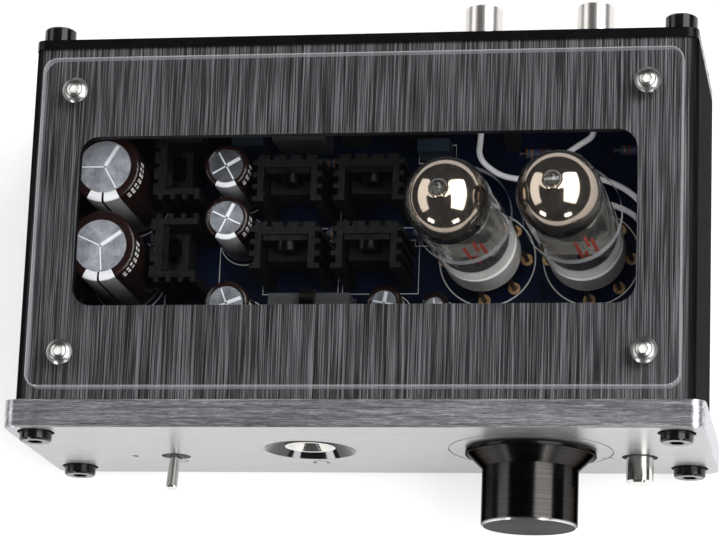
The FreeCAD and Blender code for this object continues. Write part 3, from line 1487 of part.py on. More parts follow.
case_body()
window_cover()
window_cover_screws()
rubber_feet()
front_panel()
rear_panel()
panel_screws()
volume_control()
power_switch()
source_switch()
power_led()
headphone_jack()
rca_sockets()
usb_socket()
power_inlet()
tube_socket("left", "left_tube_x")
tube("left", "left_tube_x", size("left_lean_x"), 0)
tube_socket("right", "right_tube_x")
tube("right", "right_tube_x", size("right_lean_x"), size("right_lean_y"))
board_eyelets()
power_devices()
capacitors()
film_capacitors()
resistors()
integrated_circuits()
main_board()
signal_wires()
doc.recompute()

for item in doc.Objects:
    if "Invalid" in item.State or "Error" in item.State:
        raise RuntimeError("%s failed: %s" % (item.Label, item.State))
for item in nodes:
    if item.Shape.isNull() or not item.Shape.isValid() or not item.Shape.Solids:
        raise RuntimeError("%s has no valid shape" % item.Label)

os.makedirs("parts", exist_ok=True)
for item in nodes:
    item.Shape.exportStep("parts/%s.step" % item.Label)
print("%d nodes" % len(nodes))
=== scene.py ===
import json
import math

import bpy
from mathutils import Matrix, Vector


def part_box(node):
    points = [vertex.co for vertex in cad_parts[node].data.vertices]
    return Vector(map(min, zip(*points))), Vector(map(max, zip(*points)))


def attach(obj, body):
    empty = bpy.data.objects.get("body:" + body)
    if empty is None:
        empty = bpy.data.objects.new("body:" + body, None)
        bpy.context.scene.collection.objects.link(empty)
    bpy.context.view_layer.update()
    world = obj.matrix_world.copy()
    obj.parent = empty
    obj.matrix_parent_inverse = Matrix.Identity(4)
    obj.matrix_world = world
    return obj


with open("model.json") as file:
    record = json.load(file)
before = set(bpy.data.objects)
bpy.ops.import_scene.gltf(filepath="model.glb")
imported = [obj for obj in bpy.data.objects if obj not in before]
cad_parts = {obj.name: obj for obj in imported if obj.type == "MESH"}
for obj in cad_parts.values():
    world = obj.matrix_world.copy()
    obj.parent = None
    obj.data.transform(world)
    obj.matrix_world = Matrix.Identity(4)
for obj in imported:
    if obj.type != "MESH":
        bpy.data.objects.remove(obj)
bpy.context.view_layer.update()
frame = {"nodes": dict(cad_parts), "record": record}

MM = 0.001
X_AXIS, Y_AXIS, Z_AXIS = Vector((1, 0, 0)), Vector((0, 1, 0)), Vector((0, 0, 1))


def middle(node):
    """The middle of a CAD node's box, in metres."""
    low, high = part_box(node)
    return (low + high) / 2


# ---------------------------------------------------------------- camera

CAMERA_AZIMUTH = math.radians(35.87)
CAMERA_ELEVATION = math.radians(71.99)
CAMERA_ROLL = math.radians(-34.96)
CAMERA_PLACE = Vector((0.1175, -0.17545, 0.6922))
CAMERA_LENS = 157.9
CAMERA_SHIFT = (0.0379, -0.0006)


def add_camera():
    """A camera that looks down on the amplifier from the front, tilted about its own axis."""
    sin_a, cos_a = math.sin(CAMERA_AZIMUTH), math.cos(CAMERA_AZIMUTH)
    sin_e, cos_e = math.sin(CAMERA_ELEVATION), math.cos(CAMERA_ELEVATION)
    back = Vector((sin_a * cos_e, -cos_a * cos_e, sin_e))
    level = Vector((cos_a, sin_a, 0))
    rise = back.cross(level)
    side = level * math.cos(CAMERA_ROLL) + rise * math.sin(CAMERA_ROLL)
    top = rise * math.cos(CAMERA_ROLL) - level * math.sin(CAMERA_ROLL)
    data = bpy.data.cameras.new("camera")
    data.lens = CAMERA_LENS
    data.sensor_width = 36
    data.shift_x, data.shift_y = CAMERA_SHIFT
    data.clip_start, data.clip_end = 0.01, 50
    camera = bpy.data.objects.new("camera", data)
    bpy.context.scene.collection.objects.link(camera)
    camera.matrix_world = Matrix.Translation(CAMERA_PLACE) @ Matrix(
        (side, top, back)).transposed().to_4x4()
    bpy.context.scene.camera = camera


# ---------------------------------------------------------------- procedural materials

class Paint:
    """A material whose colour, roughness and relief come from procedural nodes."""

    def __init__(self, name, metallic=0.0, roughness=0.5, **sockets):
        self.material = bpy.data.materials.new(name)
        self.material.use_nodes = True
        self.tree = self.material.node_tree
        self.tree.nodes.clear()
        self.output = self.tree.nodes.new("ShaderNodeOutputMaterial")
        self.shader = self.tree.nodes.new("ShaderNodeBsdfPrincipled")
        self.join(self.shader.outputs[0], self.output.inputs["Surface"])
        self.place = self.tree.nodes.new("ShaderNodeTexCoord").outputs["Object"]
        self.relief = None
        self.shader.inputs["Metallic"].default_value = metallic
        self.shader.inputs["Roughness"].default_value = roughness
        for socket, value in sockets.items():
            self.shader.inputs[socket.replace("_", " ")].default_value = value

    def join(self, source, socket):
        if isinstance(source, bpy.types.NodeSocket):
            self.tree.links.new(source, socket)
        else:
            socket.default_value = source

    def node(self, kind, inputs, output=0, **settings):
        """A node with its settings and inputs, given by name or number; returns one output."""
        made = self.tree.nodes.new(kind)
        for name, value in settings.items():
            setattr(made, name, value)
        for socket, value in inputs.items():
            self.join(value, made.inputs[socket])
        return made.outputs[output]

    def sum(self, operation, first, second=0.0):
        return self.node("ShaderNodeMath", {0: first, 1: second}, operation=operation)

    def vector(self, operation, first, second=(0.0, 0.0, 0.0), output=0):
        return self.node("ShaderNodeVectorMath", {0: first, 1: second}, output,
                         operation=operation)

    def noise(self, size, stretch=(1, 1, 1), detail=3.0, rough=0.55, place=None):
        """Noise from 0 to 1, whose lumps are about size mm across, times stretch along each axis."""
        scale = [1 / (size * MM * along) for along in stretch]
        spot = self.vector("MULTIPLY", place or self.place, scale)
        return self.node("ShaderNodeTexNoise",
                         {"Vector": spot, "Scale": 1.0, "Detail": detail, "Roughness": rough})

    def cells(self, size, output, **settings):
        """Areas about size mm across, each of one value."""
        spot = self.vector("MULTIPLY", self.place, [1 / (size * MM)] * 3)
        return self.node("ShaderNodeTexVoronoi", {"Vector": spot, "Scale": 1.0}, output,
                         **settings)

    def span(self, value, low, high, start=0.0, end=1.0):
        """value from start to end, mapped to low to high and held there outside."""
        return self.node("ShaderNodeMapRange", {0: value, 1: start, 2: end, 3: low, 4: high})

    def ramp(self, value, *stops):
        made = self.tree.nodes.new("ShaderNodeValToRGB")
        self.join(value, made.inputs[0])
        points = made.color_ramp.elements
        while len(points) < len(stops):
            points.new(0.5)
        for point, (position, colour) in zip(points, stops):
            point.position = position
            point.color = (*colour, 1)
        return made.outputs[0]

    def mix(self, share, first, second):
        """Two colours mixed by share; each is a socket or three numbers."""
        ends = [end if isinstance(end, bpy.types.NodeSocket) else (*end, 1)
                for end in (first, second)]
        return self.node("ShaderNodeMix", {0: share, 6: ends[0], 7: ends[1]}, 2,
                         data_type="RGBA")

    def parts(self, vector):
        made = self.tree.nodes.new("ShaderNodeSeparateXYZ")
        self.join(vector, made.inputs[0])
        return made.outputs

    def facing(self, axis):
        """How squarely the surface faces along an axis of the model, from 0 to 1."""
        normal = self.tree.nodes.new("ShaderNodeNewGeometry").outputs["Normal"]
        along = self.vector("DOT_PRODUCT", normal, tuple(axis), 1)
        return self.sum("ABSOLUTE", along)

    def glancing(self, straight):
        """Share of light that a clear sheet mirrors: straight on, and up to all at a slant."""
        slant = self.node("ShaderNodeLayerWeight", {"Blend": 0.5}, "Facing")
        return self.span(self.sum("POWER", slant, 5.0), straight, 1)

    def cast_no_shadow(self):
        """Lets light reach what is behind clear material without loss."""
        surface = self.output.inputs["Surface"]
        shadow = self.node("ShaderNodeLightPath", {}, "Is Shadow Ray")
        through = self.node("ShaderNodeBsdfTransparent", {})
        whole = self.node("ShaderNodeMixShader",
                          {0: shadow, 1: surface.links[0].from_socket, 2: through})
        self.join(whole, surface)
        return self

    def from_axis(self, centre, axis):
        """The spot's offset square to an axis through centre, and its distance from that axis."""
        offset = self.vector("SUBTRACT", self.place, tuple(centre))
        square = self.vector("MULTIPLY", offset, tuple(1 - abs(a) for a in axis))
        return square, self.vector("LENGTH", square, output=1)

    def colour(self, source):
        self.join(source if isinstance(source, bpy.types.NodeSocket) else (*source, 1),
                  self.shader.inputs["Base Color"])
        return self

    def gloss(self, source):
        self.join(source, self.shader.inputs["Roughness"])
        return self

    def emboss(self, height, depth, strength=1.0):
        """Adds relief depth mm high, from a height of 0 to 1."""
        made = self.tree.nodes.new("ShaderNodeBump")
        made.inputs["Strength"].default_value = strength
        made.inputs["Distance"].default_value = depth * MM
        self.join(height, made.inputs["Height"])
        if self.relief:
            self.join(self.relief, made.inputs["Normal"])
        self.relief = made.outputs[0]
        self.join(self.relief, self.shader.inputs["Normal"])
        return self

    def brushed(self, across):
        """Stretches highlights across the brush lines; across is a direction or a socket."""
        if not isinstance(across, bpy.types.NodeSocket):
            across = self.node("ShaderNodeCombineXYZ", dict(enumerate(across)))
        self.join(across, self.shader.inputs["Tangent"])
        return self

    def turned(self, centre, axis):
        """Stretches highlights across the lines that a lathe leaves round an axis."""
        square, _ = self.from_axis(centre, axis)
        outward = self.vector("NORMALIZE", square)
        return self.brushed(self.vector("ADD", outward, tuple(axis)))


PAINTS = {}


def paint_for(slot):
    """Registers a function that makes the material of one slot of the record."""
    def register(make):
        PAINTS[slot] = make
        return make
    return register


def shade(colour, by):
    return tuple(min(1.0, part * by) for part in colour)


def plain(name, colour, size=2.0, spread=0.25, roughness=(0.3, 0.45), depth=0.01,
          stretch=(1, 1, 1), dust=0.015, **sockets):
    """A finish with fine grain, slower patches, uneven gloss, a little relief and light dust."""
    paint = Paint(name, **sockets)
    grain = paint.noise(size, stretch, 4.0, 0.65)
    patch = paint.noise(size * 9, stretch, 2.0)
    mixed = paint.ramp(paint.span(paint.sum("ADD", grain, patch), 0, 1, 0.6, 1.4),
                       (0.0, shade(colour, 1 - spread)), (0.5, colour),
                       (1.0, shade(colour, 1 + spread)))
    speck = paint.span(paint.noise(size * 0.7, detail=1.0), 0, dust, 0.62, 0.72)
    paint.colour(paint.mix(speck, mixed, (0.55, 0.54, 0.52)))
    paint.gloss(paint.span(patch, *roughness, 0.3, 0.7))
    paint.emboss(grain, depth)
    return paint


@paint_for("case_anodised")
def case_paint():
    """Dark grey anodised aluminium, brushed from front to back in fine streaks whose light and dark
    tones are partly grain and partly painted sheen; the sides facing along X are painted near-black
    as painted shade.
    """
    paint = Paint("case_anodised", 0.85, Anisotropic=0.75, Specular_Tint=(0.05, 0.05, 0.05, 1),
                  Specular_IOR_Level=0.05)
    fine = paint.noise(0.18, (1, 130, 1), 1.0, 0.8)
    broad = paint.noise(0.9, (1, 60, 1), 3.0, 0.7)
    streak = paint.span(paint.sum("ADD", paint.sum("MULTIPLY", fine, 1.94),
                                  paint.sum("MULTIPLY", broad, 0.06)), 0, 1, 0.7, 1.3)
    cloud = paint.noise(40.0, detail=1.0)
    # the streak tones are partly the brushed grain and partly painted sheen, standing in for light
    # caught along the brush lines
    tone = paint.ramp(streak, (0.0, (0.016, 0.016, 0.017)), (0.5, (0.053, 0.052, 0.055)),
                      (1.0, (0.2, 0.197, 0.205)))
    tone = paint.mix(paint.span(cloud, 0, 0.2, 0.3, 0.7), tone, (0.08, 0.08, 0.082))
    # painted shade: faces that look along X are made near-black
    side = paint.span(paint.facing(X_AXIS), 0, 0.92, 0.03, 0.4)
    paint.colour(paint.mix(side, tone, (0.004, 0.004, 0.0045)))
    paint.gloss(paint.span(streak, 0.36, 0.5))
    paint.emboss(fine, 0.015)
    return paint.brushed((1, 0, 1))


@paint_for("rear_anodised")
def rear_paint():
    return plain("rear_anodised", (0.008, 0.008, 0.009), 0.5, 0.3, (0.2, 0.3), 0.004,
                 dust=0.005, metallic=0.6, Specular_IOR_Level=0.15)


@paint_for("front_aluminium")
def front_paint():
    """Clear anodised aluminium, brushed from side to side."""
    paint = Paint("front_aluminium", 0.82, Anisotropic=0.6)
    fine = paint.noise(0.2, (20, 1, 1), 3.0, 0.85)
    broad = paint.noise(1.0, (40, 1, 1), 2.0, 0.6)
    streak = paint.span(paint.sum("ADD", paint.sum("MULTIPLY", fine, 1.5),
                                  paint.sum("MULTIPLY", broad, 0.5)), 0, 1, 0.7, 1.3)
    rough_cut = paint.ramp(streak, (0.0, (0.13, 0.135, 0.15)), (0.5, (0.38, 0.385, 0.41)),
                           (1.0, (0.9, 0.9, 0.93)))
    smooth_cut = paint.ramp(streak, (0.0, (0.36, 0.362, 0.365)), (0.5, (0.44, 0.442, 0.445)),
                            (1.0, (0.54, 0.54, 0.543)))
    face = paint.span(paint.facing(Y_AXIS), 0, 1, 0.8, 0.95)
    paint.colour(paint.mix(face, rough_cut, smooth_cut))
    paint.gloss(paint.span(streak, 0.28, 0.4))
    paint.emboss(fine, 0.008)
    return paint.brushed((0, 1, 1))


@paint_for("clear_acrylic")
def acrylic_paint():
    """Clear plastic sheet: open on its faces, milky where it was sawn and at its drilled holes."""
    paint = Paint("clear_acrylic", 0.0, 0.35)
    haze = paint.noise(3.0, detail=3.0)
    clear = paint.node("ShaderNodeBsdfTransparent", {"Color": (0.97, 0.975, 0.98, 1)})
    mirror = paint.node("ShaderNodeBsdfGlossy", {"Color": (1, 1, 1, 1),
                                                 "Roughness": paint.span(haze, 0.02, 0.06)})
    pane = paint.node("ShaderNodeMixShader", {0: paint.glancing(0.012), 1: clear, 2: mirror})
    saw = paint.noise(0.25, (1, 1, 8), 3.0)
    paint.colour(paint.ramp(saw, (0.2, (0.42, 0.44, 0.46)), (0.8, (0.8, 0.82, 0.84))))
    paint.emboss(saw, 0.02)
    edge = paint.node("ShaderNodeMixShader", {0: 0.35, 1: pane, 2: paint.shader.outputs[0]})
    side = paint.span(paint.facing(Z_AXIS), 1, 0, 0.6, 0.95)
    whole = paint.node("ShaderNodeMixShader", {0: side, 1: pane, 2: edge})
    paint.join(whole, paint.output.inputs["Surface"])
    return paint.cast_no_shadow()


@paint_for("stainless_screw")
def stainless_paint():
    """Bright screws on the cover; those on the board, lower down, are much darker."""
    paint = plain("stainless_screw", (0.5, 0.49, 0.48), 0.4, 0.12, (0.26, 0.36), 0.004,
                  metallic=1.0)
    bright = paint.shader.inputs["Base Color"].links[0].from_socket
    # every screw below about 45 mm high is made near-black
    above = paint.span(paint.parts(paint.place)[2], 0, 1, 0.045, 0.046)
    return paint.colour(paint.mix(above, (0.012, 0.012, 0.012), bright))


@paint_for("black_screw")
def black_screw_paint():
    return plain("black_screw", (0.004, 0.004, 0.0045), 0.32, 0.4, (0.1, 0.18), 0.008,
                 dust=0.01, metallic=0.1, Specular_IOR_Level=0.4)


@paint_for("foot_rubber")
def rubber_paint():
    return plain("foot_rubber", (0.02, 0.02, 0.02), 0.3, 0.3, (0.65, 0.8), 0.02)


@paint_for("board_laminate")
def board_paint():
    """Dark blue solder mask, a little lighter over areas of copper, with a faint weave."""
    paint = Paint("board_laminate", 0.0, Coat_Weight=0.12, Coat_Roughness=0.1,
                  Specular_IOR_Level=0.12)
    weave = paint.noise(0.6, detail=2.0)
    patch = paint.noise(14.0, detail=2.0)
    mask = paint.ramp(paint.span(patch, 0, 1, 0.35, 0.65), (0.0, (0.0015, 0.003, 0.009)),
                      (1.0, (0.003, 0.006, 0.02)))
    area = paint.cells(7.0, "Color", distance="MANHATTAN")
    fill = paint.span(paint.parts(area)[0], 0, 0.5, 0.45, 0.5)
    paint.colour(paint.mix(fill, mask, (0.003, 0.008, 0.03)))
    paint.gloss(paint.span(weave, 0.25, 0.4))
    paint.emboss(weave, 0.01)
    return paint


@paint_for("gold_plate")
def gold_paint():
    return plain("gold_plate", (0.9, 0.56, 0.28), 0.3, 0.2, (0.22, 0.35), 0.006, metallic=0.6)


@paint_for("sink_anodised")
def sink_paint():
    """Black anodised extrusion, greyer where it was sawn off at its ends."""
    paint = Paint("sink_anodised", 0.3, Specular_IOR_Level=0.12)
    drawn = paint.noise(0.25, (1, 1, 40), 3.0)
    sawn = paint.noise(0.2, (1, 14, 1), 3.0, 0.7)
    wall = paint.ramp(drawn, (0.3, (0.003, 0.003, 0.0035)), (0.7, (0.009, 0.009, 0.01)))
    end = paint.ramp(sawn, (0.35, (0.002, 0.002, 0.002)), (0.65, (0.019, 0.019, 0.0185)))
    top = paint.span(paint.facing(Z_AXIS), 0, 1, 0.8, 0.95)
    paint.colour(paint.mix(top, wall, end))
    paint.gloss(paint.span(drawn, 0.35, 0.5))
    paint.emboss(drawn, 0.02)
    paint.emboss(sawn, 0.01)
    return paint


@paint_for("device_epoxy")
def epoxy_paint():
    return plain("device_epoxy", (0.007, 0.007, 0.0075), 0.15, 0.4, (0.4, 0.55), 0.015,
                 dust=0.005, Specular_IOR_Level=0.2)


@paint_for("tinned_copper")
def tin_paint():
    return plain("tinned_copper", (0.045, 0.038, 0.034), 0.3, 0.2, (0.35, 0.5), 0.01,
                 metallic=1.0)


@paint_for("capacitor_can")
def can_paint():
    """Scuffed aluminium, bright on the two large cans, darker on the small ones and darkest on the
    small one furthest back.
    """
    paint = plain("capacitor_can", (0.5, 0.52, 0.57), 0.3, 0.45, (0.3, 0.5), 0.03,
                  metallic=0.7)
    bright = paint.shader.inputs["Base Color"].links[0].from_socket
    x, y, _ = paint.parts(paint.place)
    # small cans are made darker, and the one furthest back darker still
    small = paint.span(x, 0, 1, -0.0455, -0.045)
    back = paint.span(y, 0.62, 0.3, 0.0135, 0.0145)
    darker_small_cans = paint.mix(back, (0, 0, 0), bright)
    return paint.colour(paint.mix(small, bright, darker_small_cans))


@paint_for("capacitor_sleeve")
def sleeve_paint():
    """Shrunk plastic sleeve, dark maroon, with a slight orange-peel surface."""
    return plain("capacitor_sleeve", (0.011, 0.0045, 0.0042), 0.6, 0.3, (0.16, 0.26), 0.02,
                 dust=0.005, Coat_Weight=0.3, Coat_Roughness=0.08, Specular_IOR_Level=0.3)


@paint_for("film_case")
def film_paint():
    return plain("film_case", (0.018, 0.03, 0.045), 0.5, 0.3, (0.3, 0.4), 0.01)


@paint_for("resistor_lacquer")
def resistor_paint():
    """Lacquered bodies with coloured bands across them."""
    paint = Paint("resistor_lacquer", 0.0, Coat_Weight=0.5, Coat_Roughness=0.1)
    along = paint.parts(paint.place)[0]
    band = paint.sum("FRACT", paint.sum("MULTIPLY", along, 1 / (1.15 * MM)))
    which = paint.noise(1.6, (1, 6, 6), 0.0)
    ink = paint.ramp(which, (0.35, (0.25, 0.02, 0.01)), (0.45, (0.02, 0.02, 0.02)),
                     (0.52, (0.45, 0.2, 0.02)), (0.6, (0.1, 0.03, 0.2)))
    body = paint.ramp(paint.noise(0.8), (0.3, (0.02, 0.05, 0.07)), (0.7, (0.03, 0.07, 0.1)))
    paint.colour(paint.mix(paint.span(band, 1, 0, 0.32, 0.36), body, ink))
    paint.gloss(paint.span(paint.noise(1.0), 0.3, 0.42))
    paint.emboss(paint.noise(0.5), 0.02)
    return paint


def glass(name, tint, haze):
    """Thin clear glass that lets light straight through and mirrors more at a slant."""
    paint = Paint(name)
    wave = paint.noise(2.5, detail=1.0)
    smear = paint.noise(1.2, (1, 1, 3), 4.0, 0.7)
    clear = paint.node("ShaderNodeBsdfTransparent", {"Color": (*tint, 1)})
    relief = paint.node("ShaderNodeBump", {"Height": wave, "Distance": 0.05 * MM,
                                           "Strength": 0.4})
    mirror = paint.node("ShaderNodeBsdfGlossy",
                        {"Roughness": paint.span(smear, 0.01, 0.07, 0.4, 0.75),
                         "Normal": relief})
    bare = paint.node("ShaderNodeMixShader", {0: paint.glancing(0.04), 1: clear, 2: mirror})
    bloom = paint.node("ShaderNodeBsdfDiffuse", {"Color": (0.8, 0.8, 0.79, 1)})
    whole = paint.node("ShaderNodeMixShader", {0: paint.span(smear, 0.004, haze, 0.35, 0.75),
                                               1: bare, 2: bloom})
    paint.join(whole, paint.output.inputs["Surface"])
    paint.tree.nodes.remove(paint.shader)
    return paint.cast_no_shadow()


@paint_for("tube_glass")
def tube_glass_paint():
    return glass("tube_glass", (0.97, 0.972, 0.97), 0.02)


@paint_for("anode_nickel")
def anode_paint():
    return plain("anode_nickel", (0.08, 0.082, 0.085), 0.3, 0.3, (0.3, 0.45), 0.01,
                 metallic=0.8)


@paint_for("mica")
def mica_paint():
    return plain("mica", (0.17, 0.16, 0.14), 0.8, 0.3, (0.1, 0.2), 0.01)


@paint_for("support_wire")
def support_paint():
    return plain("support_wire", (0.55, 0.53, 0.5), 0.3, 0.2, (0.2, 0.35), 0.005,
                 metallic=1.0)


@paint_for("socket_ceramic")
def ceramic_paint():
    return plain("socket_ceramic", (0.88, 0.86, 0.83), 1.0, 0.06, (0.18, 0.3), 0.01,
                 Coat_Weight=0.6, Coat_Roughness=0.1)


@paint_for("pot_case")
def pot_paint():
    return plain("pot_case", (0.3, 0.3, 0.31), 0.6, 0.2, (0.35, 0.5), 0.01, metallic=0.9)


@paint_for("shaft_steel")
def shaft_paint():
    return plain("shaft_steel", (0.55, 0.55, 0.56), 0.2, 0.15, (0.2, 0.3), 0.005,
                 (20, 1, 20), metallic=1.0)


@paint_for("knob_anodised")
def knob_paint():
    """Black turned aluminium, greyer on its spun end and bright on the chamfer round that."""
    low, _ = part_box("volume_knob")
    centre = middle("volume_shaft")
    paint = Paint("knob_anodised", 1.0, Anisotropic=0.7, Specular_Tint=(0.3, 0.3, 0.3, 1))
    _, reach = paint.from_axis(centre, Y_AXIS)
    turning = paint.node("ShaderNodeCombineXYZ", {0: reach, 1: paint.parts(paint.place)[1]})
    lines = paint.noise(0.12, (1, 1, 1), 2.0, 0.8, place=turning)
    broad = paint.noise(0.9, (1, 1, 1), 3.0, 0.6, place=turning)
    end = paint.span(paint.parts(paint.place)[1], 1, 0, low.y + 0.1 * MM, low.y + 0.55 * MM)
    black = paint.ramp(lines, (0.3, (0.02, 0.019, 0.018)), (0.7, (0.06, 0.0565, 0.054)))
    spun = paint.ramp(paint.span(paint.sum("ADD", lines, broad), 0, 1, 0.7, 1.3),
                      (0.0, (0.03, 0.03, 0.031)), (1.0, (0.11, 0.109, 0.112)))
    rim = paint.span(reach, 0, 1, 9.85 * MM, 9.95 * MM)
    bright = paint.mix(rim, spun, (0.75, 0.75, 0.76))
    paint.colour(paint.mix(end, black, bright))
    paint.gloss(paint.span(lines, 0.13, 0.24))
    paint.emboss(lines, 0.008)
    return paint.turned(centre, Y_AXIS)


@paint_for("nickel_plate")
def nickel_paint():
    """Bright nickel plate, duller on the sockets at the back."""
    paint = plain("nickel_plate", (0.66, 0.64, 0.61), 0.5, 0.08, (0.2, 0.3), 0.003,
                  metallic=0.95)
    return paint.gloss(paint.span(paint.parts(paint.place)[1], 0.1, 0.3, 0.0, 0.02))


@paint_for("switch_case")
def switch_paint():
    return plain("switch_case", (0.03, 0.03, 0.032), 0.4, 0.3, (0.4, 0.55), 0.01)


@paint_for("plunger_plastic")
def plunger_paint():
    return plain("plunger_plastic", (0.6, 0.6, 0.57), 0.5, 0.1, (0.35, 0.5), 0.01)


@paint_for("bezel_gloss")
def bezel_paint():
    return plain("bezel_gloss", (0.006, 0.006, 0.007), 0.8, 0.3, (0.08, 0.14), 0.004,
                 Coat_Weight=0.5, Coat_Roughness=0.05)


@paint_for("led_lens")
def led_paint():
    return plain("led_lens", (0.16, 0.02, 0.015), 0.4, 0.2, (0.15, 0.25), 0.005)


@paint_for("rca_insulator")
def insulator_paint():
    return plain("rca_insulator", (0.5, 0.48, 0.45), 0.5, 0.15, (0.4, 0.55), 0.01)


@paint_for("contact_gold")
def contact_paint():
    return plain("contact_gold", (0.62, 0.42, 0.16), 0.3, 0.2, (0.2, 0.35), 0.006,
                 metallic=1.0)


@paint_for("wire_insulation")
def wire_paint():
    return plain("wire_insulation", (0.9, 0.89, 0.91), 0.8, 0.06, (0.3, 0.42), 0.015)


def paint_nodes():
    """Gives each CAD node the material of its slot."""
    made = {slot: make().material for slot, make in PAINTS.items()}
    for part in frame["record"]["subparts"]:
        slots = frame["nodes"][part["node"]].data.materials
        slots.clear()
        slots.append(made[part["material_slot"]])
    return made


# ---------------------------------------------------------------- pieces

# edges that turn more than this are shaded sharp
SHARP_ANGLE = math.radians(35)


class Shape:
    """Vertices and faces in millimetres, gathered into one piece."""

    def __init__(self):
        self.vertices = []
        self.faces = []

    def grid(self, rows, round_rows=True):
        """Joins closed rows of points with four-sided faces, and the last to the first if asked."""
        start, across = len(self.vertices), len(rows[0])
        self.vertices += [tuple(point) for row in rows for point in row]
        for r in range(len(rows) if round_rows else len(rows) - 1):
            for c in range(across):
                r2, c2 = (r + 1) % len(rows), (c + 1) % across
                self.faces.append(tuple(start + i for i in (
                    r * across + c, r * across + c2, r2 * across + c2, r2 * across + c)))
        return self

    def lathe(self, profile, centre, axis="Z", count=48):
        """Turns a closed loop of (radius, height) points about an axis through centre."""
        rows = []
        for radius, height in profile:
            row = []
            for i in range(count):
                a = 2 * math.pi * i / count
                u, v = radius * math.cos(a), radius * math.sin(a)
                offset = (u, v, height) if axis == "Z" else (u, height, -v)
                row.append(Vector(centre) + Vector(offset))
            rows.append(row)
        return self.grid(rows)

    def prism(self, outline, low, high, lift=lambda x, y, z: (x, y, z)):
        """A flat outline, given anticlockwise, made solid from low to high."""
        start, count = len(self.vertices), len(outline)
        for z in (low, high):
            self.vertices += [lift(x, y, z) for x, y in outline]
        for i in range(count):
            j = (i + 1) % count
            self.faces.append((start + i, start + j, start + count + j, start + count + i))
        self.faces.append(tuple(start + i for i in reversed(range(count))))
        self.faces.append(tuple(start + count + i for i in range(count)))
        return self

    def ribbon(self, points, width, low, high, lift=lambda x, y, z: (x, y, z), closed=False):
        """A line of even width along flat points, made solid from low to high."""
        count = len(points)
        left, right = [], []
        for i, point in enumerate(points):
            before = points[i - 1] if closed or i else point
            after = points[(i + 1) % count] if closed or i < count - 1 else point
            ahead = Vector((after[0] - before[0], after[1] - before[1])).normalized()
            square = Vector((-ahead.y, ahead.x)) * width / 2
            left.append((point[0] + square.x, point[1] + square.y))
            right.append((point[0] - square.x, point[1] - square.y))
        rows = [[lift(*r, low), lift(*l, low), lift(*l, high), lift(*r, high)]
                for l, r in zip(left, right)]
        start = len(self.vertices)
        self.grid(rows, round_rows=closed)
        if not closed:
            end = start + 4 * (count - 1)
            self.faces.append((start + 3, start + 2, start + 1, start))
            self.faces.append((end, end + 1, end + 2, end + 3))
        return self

    def moved(self, matrix):
        self.vertices = [tuple(matrix @ Vector(vertex)) for vertex in self.vertices]
        return self

    def add(self, name, body, slot, material):
        mesh = bpy.data.meshes.new(name)
        mesh.from_pydata([Vector(v) * MM for v in self.vertices], [], self.faces)
        mesh.materials.append(material)
        mesh.shade_smooth()
        mesh.set_sharp_from_angle(angle=SHARP_ANGLE)
        mesh.validate()
        piece = bpy.data.objects.new(name, mesh)
        bpy.context.scene.collection.objects.link(piece)
        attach(piece, body)
        return piece


def arc(centre, radius, start, end, count):
    """Flat points along an arc, angles in degrees."""
    angles = [math.radians(start + (end - start) * i / (count - 1)) for i in range(count)]
    return [(centre[0] + radius * math.cos(a), centre[1] + radius * math.sin(a))
            for a in angles]


def loop(centre, radius, count):
    """Flat points all the way round a circle, without repeating the first."""
    return arc(centre, radius, 0, 360 * (count - 1) / count, count)


BOARD_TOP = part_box("main_board")[1].z / MM
SOCKET_TOP = BOARD_TOP + 15.5
SOCKETS = {side: middle(side + "_socket_ceramic").xy / MM for side in ("left", "right")}
# degrees that each tube leans towards +X and towards +Y
LEANS = {"left": (-2.8, 0.0), "right": (-2.6, 2.0)}
# the front panel's face, from which the places below are measured back
CHASSIS_MOVE = -41.75
# x, y, radius, height, vent arms and the turn of the first arm, in degrees
CAPACITORS = [(x, y + CHASSIS_MOVE, radius, height, arms, turn)
              for x, y, radius, height, arms, turn in (
                  (-57.9, 60.4, 8.0, 27.6, 3, 60), (-57.9, 42.4, 8.0, 27.6, 3, 35),
                  (-32.2, 62.5, 5.0, 20.0, 4, 30), (-31.6, 50.6, 5.0, 20.0, 4, 65),
                  (-30.8, 31.2, 5.0, 20.0, 4, 20), (2.8, 33.2, 4.0, 11.5, 4, 80),
                  (14.0, 32.6, 3.15, 11.0, 4, 10))]
# x, y and half widths of the rectangles printed round sinks and film parts
OUTLINED = ([(x, y + CHASSIS_MOVE, 8.6, 6.2) for x in (-18.3, -0.1) for y in (59.6, 44.3)]
            + [(-43.3, y + CHASSIS_MOVE, 6.2, 8.6) for y in (62.8, 43.9)]
            + [(x, y + CHASSIS_MOVE, 4.2, 2.1) for x, y in (
                (11.7, 58.0), (11.7, 51.2), (12.0, 70.5), (23.0, 30.3))])
# the tubes: how far they stand off their sockets, the bulb, its dome, its tip and its mark
TUBE_LIFT = 0.5
GLASS_RADIUS = 9.0
DOME_HEIGHT = 33.4
TIP_RADIUS, TIP_BLEND = 1.7, 1.2
MARK_TURN = math.radians(-62)
# the cover's button-head screws: head, dome and the key hole's corners and depth
HEAD_RADIUS, HEAD_DOME = 2.85, 3.6
KEY_RADIUS, KEY_DEPTH = 1.15, 1.05
# cans whose radius is over this carry a split stripe and longer print
LARGE_CAN = 6


def tube_frame(side):
    """From a tube's own frame, upright on its base, to its leaning place in the model."""
    towards_x, towards_y = LEANS[side]
    angle = math.radians(math.hypot(towards_x, towards_y))
    lean = Matrix.Rotation(angle, 4, Vector((-towards_y, towards_x, 0)))
    lift = Matrix.Translation((0, 0, TUBE_LIFT))
    return Matrix.Translation((*SOCKETS[side], SOCKET_TOP)) @ lean @ lift


